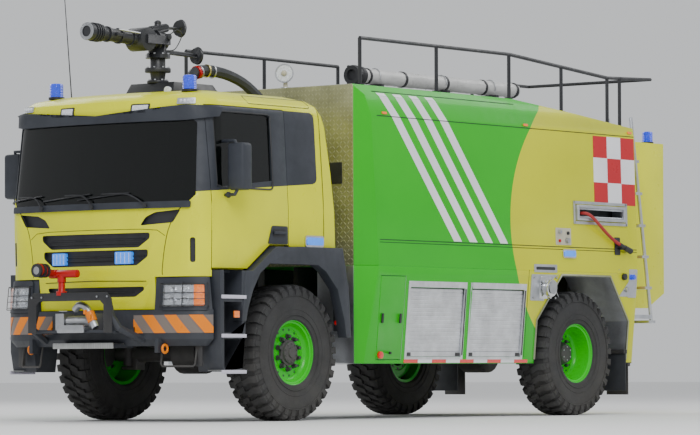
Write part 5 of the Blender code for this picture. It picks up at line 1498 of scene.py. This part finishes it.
# y, z, radius, depth and material
SIDE_KNOBS = (
    (3.71, 1.37, 0.012, 0.014, "steel"),
    (3.71, 1.17, 0.012, 0.014, "steel"),
    (4.09, 1.37, 0.012, 0.014, "steel"),
    (4.09, 1.17, 0.012, 0.014, "steel"),
    (4.15, 1.83, 0.022, 0.03, "steel"),
    (4.30, 1.82, 0.018, 0.02, "black"),
    (4.15, 1.74, 0.016, 0.02, "red"),
    (4.28, 1.745, 0.028, 0.035, "steel"),
    (5.30, 1.40, 0.035, 0.03, "black"),
    (5.44, 1.40, 0.030, 0.045, "blue"),
    (5.36, 1.27, 0.028, 0.03, "steel"),
    (1.27, 0.60, 0.036, 0.024, "red_lamp"),
    (1.42, 0.62, 0.012, 0.022, "black"),
)
ARCH_MIDDLE = WHEELBASE + 0.12
ARCH_HALF = ((0.82, 0.56), (0.82, 0.95), (0.435, 1.40))  # half width and height, from foot to top


def make_side_fittings():
    piece = Piece("side_fittings", "body", "bare_steel")
    for plates, both in ((SIDE_PLATES, True), (SLOT_PLATES, False)):
        for corners, lift, material, radius, thick in plates:
            piece.cover(BODY_SIDE, oblong(*corners, radius), lift, thick, 0.3, material, both)
    for y, z, radius, deep, material in SIDE_KNOBS:
        x = side_x(z)
        piece.add(rod((x, y, z), (x + deep, y, z), radius, radius * 0.92, 20, 0.002), material, both=True)
    piece.add(block((1.228, 5.155, 1.70), (1.275, 5.21, 1.715), 0.003), "black")
    piece.add(block((1.228, 5.165, 1.69), (1.262, 5.20, 1.702), 0.003), "black")
    piece.done()
    arch = Piece("rear_arch_trim", "body", "bare_steel")
    ring = [(ARCH_MIDDLE - half, z) for half, z in ARCH_HALF]
    ring += [(ARCH_MIDDLE + half, z) for half, z in reversed(ARCH_HALF)]
    arch.add(tube([(side_x(z) + 0.001, y, z) for y, z in ring], 0.012, 8), "arch_green", both=True)
    arch.done()


def make_inlet_lugs():
    """Lugs, cap and chain of the tank inlets."""
    for side, word in SIDES:
        low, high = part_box(f"tank_inlet_{word}")
        y, z = (low.y + high.y) / 2 - AXLE_Y, (low.z + high.z) / 2
        reach = max(abs(low.x), abs(high.x))
        piece = Piece(f"inlet_lugs_{word}", "body", "bare_steel")
        for a, b in circle(3, 0.092, 0.4):
            start, end = ((reach - back, y + a, z + b) for back in (0.055, 0.02))
            piece.add(rod(start, end, 0.019, None, 14, 0.003), "chrome")
        cap = ((0, 0), (0, 0.062), (0.004, 0.066), (0.004, 0.05), (0.002, 0.045), (0.002, 0))
        piece.add(lathe((reach - 0.002, y, z), (1, 0, 0), cap, 36), "steel")
        top, low_point = (reach - 0.04, y + 0.09, z - 0.01), (reach - 0.02, y + 0.12, z - 0.09)
        chain = smooth_route([top, low_point, (1.262, y + 0.16, z - 0.03)], 6)
        piece.add(tube(chain, 0.004, 6), "steel")
        piece.done(38, side < 0)


make_livery_marks()
make_tape()
make_shutters()
make_side_fittings()
make_inlet_lugs()


# The cab's sides and roof

HANDLE = ((-0.41, 1.60), (-0.125, 1.60), (-0.125, 1.765), (-0.35, 1.765))
FILLET = 0.06  # radius of the dark window area's rear corners
REAR_SEAM = ((0.41, 1.32), (0.41, 2.12), (0.40, 2.84))
STEP_HEIGHTS = (1.118, 0.772, 0.452)


def make_door_trim(side, word):
    piece = Piece(f"door_trim_{word}", f"cab_door_{word}")
    piece.cover(CAB_SIDE, rounded(HANDLE, 0.02), 0.007, 0.008, 0.1, "plastic")
    piece.cover(CAB_SIDE, oblong(-0.34, 1.665, -0.16, 1.735, 0.018), 0.010, 0.004, 0.1, "black")
    piece.add(block((1.208, -0.34, 1.688), (1.228, -0.165, 1.716), 0.006), "plastic")
    frame_line = [spot(CAB_SIDE, u, v, 0.003) for u, v in oblong(-1.10, 2.09, -0.32, 2.77, 0.05)]
    piece.add(tube(frame_line, 0.008, 8, True), "black")
    piece.done(38, side < 0)


def make_cab_side_trim(side, word):
    piece = Piece(f"cab_side_trim_{word}")
    piece.cover(CAB_SIDE, oblong(0.125, 1.585, 0.40, 1.69, 0.03), 0.014, 0.016, 0.1, "chrome")
    piece.cover(CAB_SIDE, oblong(0.145, 1.602, 0.38, 1.673, 0.022), 0.022, 0.012, 0.1, "strobe")
    edge = QUARTER_REAR + 0.004
    inner = QUARTER_REAR - FILLET
    for z, way in ((2.82, -1), (2.166, 1)):
        start = z - 0.004 * way
        bow = arc((inner, z + FILLET * way), FILLET, -90 * way, 0, 6)
        corner = [(edge, start), (inner, start), *bow, (edge, z + FILLET * way)]
        piece.cover(CAB_SIDE, corner, 0.0012, 0.0012, 0.3, "lime")
    seam = oblong(-0.60, 2.86, 0.30, 2.935, 0.03)
    for line in (*zip(seam, seam[1:] + seam[:1]), REAR_SEAM):
        piece.cover(CAB_SIDE, strip(line, 0.006), 0.0012, 0.002, 0.2, "seam")
    piece.done(38, side < 0)


def make_step_edges(side, word):
    piece = Piece(f"cab_step_edges_{word}", "body", "aluminium_slats")
    for z in STEP_HEIGHTS:
        piece.add(block((1.262, -1.145, z - 0.02), (1.276, -0.805, z + 0.012), 0.004), "step_edge")
        piece.add(block((1.10, -1.14, z + 0.008), (1.266, -0.81, z + 0.014), 0.002), "deck")
    piece.done(38, side < 0)


def make_beacon(number, centre, radius, height):
    """A blue beacon with a ribbed dome."""
    piece = Piece(f"beacon_{number}")
    foot = [(0, 0), (0, radius * 1.12), (0.022, radius * 1.12), (0.024, radius)]
    dome = []
    for k in range(8):
        t = 0.024 + (height - 0.024) * k / 8
        narrow = 0.03 * k / 8
        dome += [(t, radius * (1 - narrow)), (t + 0.006, radius * (0.95 - narrow))]
    dome += [(height, radius * 0.85), (height + 0.006, radius * 0.5), (height + 0.006, 0)]
    base = Vector(centre) - Vector((0, 0, 0.006))
    piece.add(lathe(base, (0, 0, 1), [*foot, (0.024, 0)], 32), "black")
    piece.add(lathe(base, (0, 0, 1), [(0.02, 0), *dome], 32), "blue")
    piece.done(30)


MONITOR_Y = -0.52
MONITOR_Z = 3.49
BARREL_Y = -0.76
BARREL_RISE = 0.035  # for each metre forward
HAND_WHEELS = ((0, -0.2075, 3.63), (0.06, -0.0375, 3.383))
WHEEL_RADIUS = 0.075
BARREL_RINGS = (  # distance along, inner radius, outer radius, width, material
    (0.14, 0.055, 0.074, 0.022, "monitor"),
    (0.30, 0.055, 0.072, 0.022, "monitor"),
    (0.46, 0.055, 0.072, 0.022, "monitor"),
    (0.56, 0.055, 0.080, 0.022, "monitor"),
    (0.60, 0.06, 0.086, 0.012, "black"),
    (0.63, 0.06, 0.086, 0.012, "black"),
    (0.66, 0.06, 0.086, 0.012, "black"),
)
WIRE = (
    (0.12, -0.50, 3.54), (0.17, -0.44, 3.59), (0.12, -0.32, 3.55), (0.06, -0.34, 3.43), (0.09, -0.47, 3.40),
)


def flange_bolts(piece, radius, low, high, size):
    """Eight bolts that stand round the roof monitor's upright axis."""
    for x, y in circle(8, radius, math.pi / 8):
        piece.add(rod((x, MONITOR_Y + y, low), (x, MONITOR_Y + y, high), size, None, 6), "steel")


def make_monitor_fittings():
    piece = Piece("roof_monitor_fittings", "body", "monitor_black")
    piece.add(rod((0, MONITOR_Y, 3.10), (0, MONITOR_Y, 3.125), 0.10, None, 32, 0.003), "monitor")
    flange_bolts(piece, 0.105, 3.242, 3.252, 0.009)
    flange_bolts(piece, 0.085, 3.125, 3.137, 0.009)
    piece.add(rod((0.225, -0.62, 3.02), (0.225, -0.66, 3.02), 0.035, None, 24, 0.003), "white_lamp")
    piece.done()


def make_monitor_details():
    piece = Piece("roof_monitor_details", "roof_monitor_head", "monitor_black")
    for x, y, z in HAND_WHEELS:
        rim = [(x + a, y + 0.016, z + b) for a, b in circle(32, WHEEL_RADIUS, 0, 0.80)]
        piece.add(tube(rim, 0.009, 8, True), "monitor")
        piece.add(ball((x, y + 0.018, z), 0.02, (1, 1, 1), 16), "steel")
    flange_bolts(piece, 0.10, 3.366, 3.378, 0.010)
    for x, z in circle(8, 0.075, math.pi / 8):
        piece.add(rod((x, -0.60, MONITOR_Z + z), (x, -0.585, MONITOR_Z + z), 0.008, None, 6), "steel")
    collar = ((0, 0.084), (0, 0.102), (0.018, 0.102), (0.018, 0.084))
    piece.add(lathe((0, -0.585, MONITOR_Z), (0, 1, 0), collar, 32), "monitor")
    for side, _ in SIDES:
        boss = [(side * x, -0.50, MONITOR_Z + 0.035) for x in (0.092, 0.13)]
        piece.add(rod(*boss, 0.030, None, 20, 0.004), "monitor")
        wire = smooth_route([(side * x, y, z) for x, y, z in WIRE], 6)
        piece.add(tube(wire, 0.005, 6), "black")
    post = [(0, MONITOR_Y, MONITOR_Z + z) for z in (0.06, 0.16)]
    piece.add(rod(*post, 0.032, None, 20, 0.004), "monitor")
    piece.add(ball((0, MONITOR_Y, MONITOR_Z + 0.17), 0.034, (1, 1, 0.7), 16), "monitor")
    piece.done()


def make_barrel_details():
    piece = Piece("roof_monitor_barrel_details", "roof_monitor_barrel", "monitor_black")
    line = (0, -1, BARREL_RISE)
    for t, inner, outer, width, material in BARREL_RINGS:
        ring = ((0, inner), (0, outer), (width, outer), (width, inner))
        piece.add(lathe((0, BARREL_Y - t, MONITOR_Z + BARREL_RISE * t), line, ring, 32), material)
    muzzle = ((0, 0.05), (0, 0.082), (0.004, 0.080), (0.004, 0.05))
    piece.add(lathe((0, BARREL_Y - 0.742, MONITOR_Z + 0.0255), line, muzzle, 32), "steel")
    for x, z in circle(10, 0.066):
        piece.add(ball((x, BARREL_Y - 0.744, MONITOR_Z + 0.026 + z), 0.008, (1, 1, 1), 8), "steel")
    for side, _ in SIDES:
        x = side * 0.075
        low, high = (x - 0.012, BARREL_Y - 0.42, MONITOR_Z), (x + 0.012, BARREL_Y - 0.34, MONITOR_Z + 0.03)
        piece.add(block(low, high, 0.004), "monitor")
        rail = [(side * 0.082, BARREL_Y - t, MONITOR_Z + z) for t, z in ((0.10, 0.045), (0.40, 0.06))]
        piece.add(tube(rail, 0.009, 8), "steel")
    piece.done()


SEARCH_BOWL = (
    (0, 0), (0.0, 0.03), (0.03, 0.068), (0.06, 0.086), (0.085, 0.092), (0.095, 0.092), (0.095, 0.084),
    (0.07, 0.07), (0.06, 0.0),
)


def make_search_light():
    piece = Piece("search_light", "body", "bare_steel")
    x, y, foot, top = 0.24, 1.06, BODY_TOP + 0.001, BODY_TOP + 0.10
    piece.add(rod((x, y, foot), (x, y, top), 0.022, None, 16, 0.002), "beige")
    piece.add(rod((x, y, foot), (x, y, BODY_TOP + 0.012), 0.05, None, 20, 0.002), "steel")
    aim = Vector((0.35, -0.9, 0.1)).normalized()
    place = Vector((x, y, top + 0.04))
    piece.add(lathe(place - aim * 0.05, aim, SEARCH_BOWL, 36), "chrome")
    pane = ((0, 0), (0, 0.082), (0.008, 0.078), (0.014, 0.0))
    piece.add(lathe(place + aim * 0.030, aim, pane, 36), "white_lamp")
    piece.add(ball(place + aim * 0.04, 0.030, (1, 1, 1), 16), "beige")
    piece.done()


NOZZLE_RADIUS = 0.06


def make_nozzle_rings():
    """The rings and steel end of the bumper monitor's nozzle."""
    low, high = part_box("bumper_monitor_nozzle")
    start = Vector(((low.x + high.x) / 2, low.y - AXLE_Y, (low.z + high.z) / 2))
    axis = Vector((0, -1, 0))
    piece = Piece("bumper_nozzle_rings", "bumper_monitor_nozzle", "monitor_red")
    inner = NOZZLE_RADIUS * 0.6
    for t, wide in ((0.004, 1.02), (-0.05, 1.08), (-0.10, 1.05)):
        outer = NOZZLE_RADIUS * wide
        ring = ((0, inner), (0, outer), (0.022, outer), (0.022, inner))
        piece.add(lathe(start + axis * (t - 0.022), axis, ring, 32), "black")
    end = NOZZLE_RADIUS * 0.7
    piece.add(lathe(start, axis, ((0, 0), (0, end), (0.002, end), (0.002, 0)), 32), "steel")
    piece.done(35)


SUPPLY_ROUTE = ((0.10, -0.12, 3.215), (0.11, 0.02, 3.245), (0.14, 0.26, 3.23))
SUPPLY_BANDS = (  # stretch of the route, share of it, width, material
    (0, 0.15, 0.040, "red"),
    (0, 0.35, 0.025, "steel"),
    (1, 0.05, 0.018, "brass"),
    (1, 0.35, 0.014, "steel"),
)


def make_supply_hose_bands():
    """Coupling bands round the roof monitor's supply hose, near its front end."""
    piece = Piece("supply_hose_bands", "body", "hose_rubber")
    for stretch, share, wide, material in SUPPLY_BANDS:
        a, b = Vector(SUPPLY_ROUTE[stretch]), Vector(SUPPLY_ROUTE[stretch + 1])
        ring = ((0, 0.040), (0, 0.062), (wide, 0.062), (wide, 0.040))
        piece.add(lathe(a + (b - a) * share, b - a, ring, 32), material)
    piece.done(35)


# The mirror head's inner and outer edge, foot and top, and its rear face
MIRROR_IN, MIRROR_OUT, MIRROR_LOW, MIRROR_HIGH, MIRROR_REAR = 1.25, 1.44, 2.06, 2.48, -0.91


def make_mirrors():
    glass = oblong(MIRROR_IN + 0.02, MIRROR_LOW + 0.03, MIRROR_OUT - 0.02, MIRROR_HIGH - 0.03, 0.025)
    for side, word in SIDES:
        node = f"mirror_{word}"
        softer_copy(node, ("plastic",), 0.006)
        piece = Piece(f"mirror_glass_{word}", NODES[node]["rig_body"])
        piece.add(prism(glass, "Y", MIRROR_REAR - 0.001, MIRROR_REAR + 0.003), "chrome")
        piece.add(ball((MIRROR_IN - 0.02, -1.0, 2.02), 0.028, (1, 1, 1), 16), "plastic")
        piece.done(38, side < 0)


for cab_side, cab_word in SIDES:
    make_door_trim(cab_side, cab_word)
    make_cab_side_trim(cab_side, cab_word)
    make_step_edges(cab_side, cab_word)
# A beacon's number is only part of its name
make_beacon(146, spot(CAB_ROOF, 0.80, -1.02), 0.066, 0.145)
make_beacon(147, spot(CAB_ROOF, -0.80, -1.02), 0.066, 0.145)
make_beacon(148, (0.70, 6.62, 2.842), 0.058, 0.13)
make_monitor_fittings()
make_monitor_details()
make_barrel_details()
make_search_light()
make_nozzle_rings()
make_supply_hose_bands()
make_mirrors()


# Soft parts: the seats and the wrapped hose on the roof

CLOTH_SETTINGS = {
    "quality": 4,
    "mass": 0.3,
    "tension_stiffness": 15,
    "compression_stiffness": 15,
    "bending_stiffness": 1.5,
    "use_pressure": True,
    "uniform_pressure_force": 4.0,
}
CLOTH_FRAMES = 16
MOST_PUFF = 0.014
VOXEL = 0.022
SEAT_X = 0.62
SEAT_BASE = ((-0.47, 1.935), (0.03, 1.935), (0.03, 2.02), (-0.47, 2.03))
BASE_BOLSTER = ((-0.46, 1.925), (0.04, 1.925), (0.04, 2.035), (-0.46, 2.035))
SEAT_BACK = ((-0.005, 2.015), (0.10, 2.015), (0.225, 2.59), (0.155, 2.60))
BACK_BOLSTER = ((-0.015, 2.03), (0.12, 2.03), (0.215, 2.50), (0.11, 2.50))
HEAD_REST = ((0.16, 2.59), (0.245, 2.59), (0.275, 2.78), (0.19, 2.78))
CUSHIONS = (  # outline, from and to across the seat, material
    (SEAT_BASE, -0.165, 0.165, "cloth"),
    (BASE_BOLSTER, -0.24, -0.155, "cloth_side"),
    (BASE_BOLSTER, 0.155, 0.24, "cloth_side"),
    (SEAT_BACK, -0.16, 0.16, "cloth"),
    (BACK_BOLSTER, -0.23, -0.15, "cloth_side"),
    (BACK_BOLSTER, 0.15, 0.23, "cloth_side"),
    (HEAD_REST, -0.125, 0.125, "cloth"),
)
BELT = ((0.84, 0.10, 2.45), (0.80, 0.04, 2.40), (0.70, 0.0, 2.25), (0.60, -0.02, 2.12), (0.48, 0.0, 2.05))


def puffed(mesh):
    """Cloth inflated a little over a cushion's shape, with no point moved further than MOST_PUFF."""
    item = placed("puff", mesh)
    before = [vert.co.copy() for vert in mesh.vertices]
    cloth = item.modifiers.new("cloth", "CLOTH")
    for name, value in CLOTH_SETTINGS.items():
        setattr(cloth.settings, name, value)
    cloth.settings.effector_weights.gravity = 0
    cloth.point_cache.frame_start = 1
    cloth.point_cache.frame_end = CLOTH_FRAMES
    for number in range(1, CLOTH_FRAMES + 1):
        bpy.context.scene.frame_set(number)
    result = evaluated(item)
    for vert, old in zip(result.vertices, before):
        step = vert.co - old
        if step.length > MOST_PUFF:
            vert.co = old + step.normalized() * MOST_PUFF
    bpy.data.objects.remove(item)
    bpy.context.scene.frame_set(1)
    return result


def cushion_mesh(shape):
    """A closed shape made again of even quads, puffed by cloth and smoothed."""
    item = placed("cushion", shape)
    remesh = item.modifiers.new("even", "REMESH")
    remesh.mode = "VOXEL"
    remesh.voxel_size = VOXEL
    item.modifiers.new("smooth", "SMOOTH").iterations = 3
    mesh = evaluated(item)
    bpy.data.objects.remove(item)
    mesh = puffed(mesh)
    item = placed("cushion", mesh)
    item.modifiers.new("fine", "SUBSURF").levels = 1
    fine = evaluated(item)
    bpy.data.objects.remove(item)
    return fine


def make_seats():
    shapes = []
    for outline, start, end, material in CUSHIONS:
        shape = prism(outline, "X", SEAT_X + start, SEAT_X + end, 0.02)
        shapes.append((cushion_mesh(shape), material))
    for side, word in SIDES:
        node = f"seat_{word}"
        soft = Piece(f"seat_cushions_{word}", "body", "seat_fabric")
        for shape, material in shapes:
            soft.add(shape.copy(), material)
        item = soft.done(60, side < 0)
        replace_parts(item, node)
        hard = Piece(f"seat_frame_{word}")
        hard.add(block((0.47, -0.33, 1.625), (0.77, 0.02, 1.93), 0.02), "black")
        hard.add(block((0.40, -0.44, 1.885), (0.84, 0.03, 1.945), 0.015), "plastic")
        for x in (0.56, 0.68):
            hard.add(rod((x, 0.19, 2.54), (x, 0.215, 2.66), 0.009, None, 12), "steel")
        hard.add(tube(smooth_route(BELT, 4), 0.012, 6), "orange")
        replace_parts(hard.done(38, side < 0), node)


STOWED_X = 0.62
STOWED_Z = BODY_TOP + 0.145
STOWED_FIRST = 1.75
STOWED_LAST = 4.30
STOWED_RADIUS = 0.075
STOWED_TIES = (1.80, 2.37, 3.05, 3.70, 4.24)
CRADLES = (1.95, 3.025, 3.85)
COUPLING = (
    (0.03, 0), (0.03, 0.05), (0.0, 0.055), (0.0, 0.092), (0.02, 0.096), (0.05, 0.096), (0.055, 0.082),
    (0.10, 0.080), (0.11, 0.088), (0.15, 0.088), (0.16, 0.07), (0.16, 0),
)


def make_stowed_hose():
    """The suction hose in its crinkled wrap, with its ties."""
    piece = Piece("wrapped_hose", "body", "hose_wrap")
    length = STOWED_LAST - STOWED_FIRST
    profile = [(0, 0), (0, 0.06)]
    rng = np.random.default_rng(4)
    t = 0.0
    while t < length - 0.03:
        profile.append((t + 0.004, STOWED_RADIUS * rng.uniform(0.93, 1.0)))
        t += rng.uniform(0.018, 0.034)
    profile += [(length, STOWED_RADIUS * 0.9), (length, 0)]
    mesh = lathe((STOWED_X, STOWED_FIRST, STOWED_Z), (0, 1, 0), profile, 28)
    for vert in mesh.vertices:
        out = Vector((vert.co.x - STOWED_X, 0, vert.co.z - STOWED_Z))
        vert.co += out * float(rng.uniform(-0.05, 0.035))
    piece.add(mesh, "wrap")
    tie = ((0, 0.07), (0, 0.079), (0.03, 0.079), (0.03, 0.07))
    for y in STOWED_TIES:
        piece.add(lathe((STOWED_X, y, STOWED_Z), (0, 1, 0), tie, 28), "black")
    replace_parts(piece.done(60), "stowed_suction_hose")


def make_stowed_fittings():
    """The stowed hose's coupling and its three cradles."""
    piece = Piece("wrapped_hose_fittings", "body", "hose_wrap")
    piece.add(lathe((STOWED_X, STOWED_FIRST - 0.16, STOWED_Z), (0, 1, 0), COUPLING, 32), "frame")
    for x, z in circle(3, 0.094):
        lug = [(STOWED_X + x, STOWED_FIRST - back, STOWED_Z + z) for back in (0.15, 0.11)]
        piece.add(rod(*lug, 0.014, None, 10), "frame")
    for y in CRADLES:
        low = (STOWED_X - 0.105, y - 0.025, spot(BODY_ROOF, STOWED_X, y).z + 0.001)
        piece.add(block(low, (STOWED_X + 0.105, y + 0.025, STOWED_Z - 0.072), 0.004), "black")
        strap = [(x, y, z) for x, z in arc((STOWED_X, STOWED_Z), 0.082, -20, 200, 11)]
        piece.add(tube(strap, 0.006, 6), "steel")
    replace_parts(piece.done(38), "stowed_suction_hose")


# Under the body and at the rear


def make_under_fittings():
    piece = Piece("under_fittings", "body", "black_paint")
    for side, _ in SIDES:
        near, far = sorted((side * 0.90, side * 1.22))
        piece.add(block((near, 5.385, 0.24), (far, 5.40, 0.66), 0.004), "hose")
        piece.add(block((near, 5.36, 0.62), (far, 5.42, 0.66), 0.004), "black")
        near, far = sorted((side * 1.00, side * 1.16))
        piece.add(block((near, 0.80, 0.82), (far, 0.86, 1.08), 0.01), "plastic")
        for x, z in ((1.045, 0.90), (1.115, 0.90), (1.045, 1.00), (1.115, 1.00)):
            piece.add(rod((side * x, 0.80, z), (side * x, 0.79, z), 0.022, None, 18, 0.003), "red_lamp")
    piece.done()


def make_front_vents():
    piece = Piece("body_front_grille", "body", "black_paint")
    for side, _ in SIDES:
        outline = sided(side, oblong(1.0, 2.20, 0.85, 2.40, 0.01))
        piece.cover(BODY_FACE, outline, 0.006, 0.006, 0.1, "black")
    piece.done()


def make_rear_fittings():
    """Rear lamps with reflective bars above them."""
    piece = Piece("rear_fittings")
    for side, _ in SIDES:
        u = side * 1.02
        for z, material in ((1.30, "red_lamp"), (1.42, "red_lamp"), (1.54, "amber")):
            lens = oblong(u - 0.07, z - 0.05, u + 0.07, z + 0.05, 0.03)
            piece.cover(REAR, lens, 0.016, 0.016, 0.1, material)
        for k in range(6):
            z = 1.70 + 0.16 * k
            bar = oblong(u - 0.08, z, u + 0.08, z + 0.08)
            piece.cover(REAR, bar, 0.003, 0.003, 0.1, "stripe_white" if k % 2 else "checker_red")
    piece.done()


REAR_GRIP = ((-0.10, 0, 1.62), (-0.10, 0.035, 1.63), (0.10, 0.035, 1.63), (0.10, 0, 1.62))


def make_rear_door_trim():
    """The rear door's hinges and catches, seam, handle and vent."""
    piece = Piece("rear_door_trim", "rear_door")
    low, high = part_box("rear_door")
    y = high.y - AXLE_Y
    for share in (0.12, 0.88):
        x = low.x + (high.x - low.x) * share
        for foot in (low.z + 0.30, high.z - 0.42):
            piece.add(block((x - 0.02, y, foot), (x + 0.02, y + 0.012, foot + 0.12), 0.004), "black")
    seam = oblong(low.x + 0.05, low.z + 0.06, high.x - 0.05, high.z - 0.06, 0.04)
    piece.add(tube([(u, y + 0.001, v) for u, v in seam], 0.006, 6, True), "seam")
    piece.add(tube([(x, y + out, z) for x, out, z in REAR_GRIP], 0.010, 8), "steel")
    for k in range(4):
        z = low.z + 0.55 + 0.055 * k
        piece.add(block((-0.30, y - 0.001, z), (0.30, y + 0.006, z + 0.02), 0.002), "black")
    piece.done()


make_seats()
make_stowed_hose()
make_stowed_fittings()
make_under_fittings()
make_front_vents()
make_rear_fittings()
make_rear_door_trim()
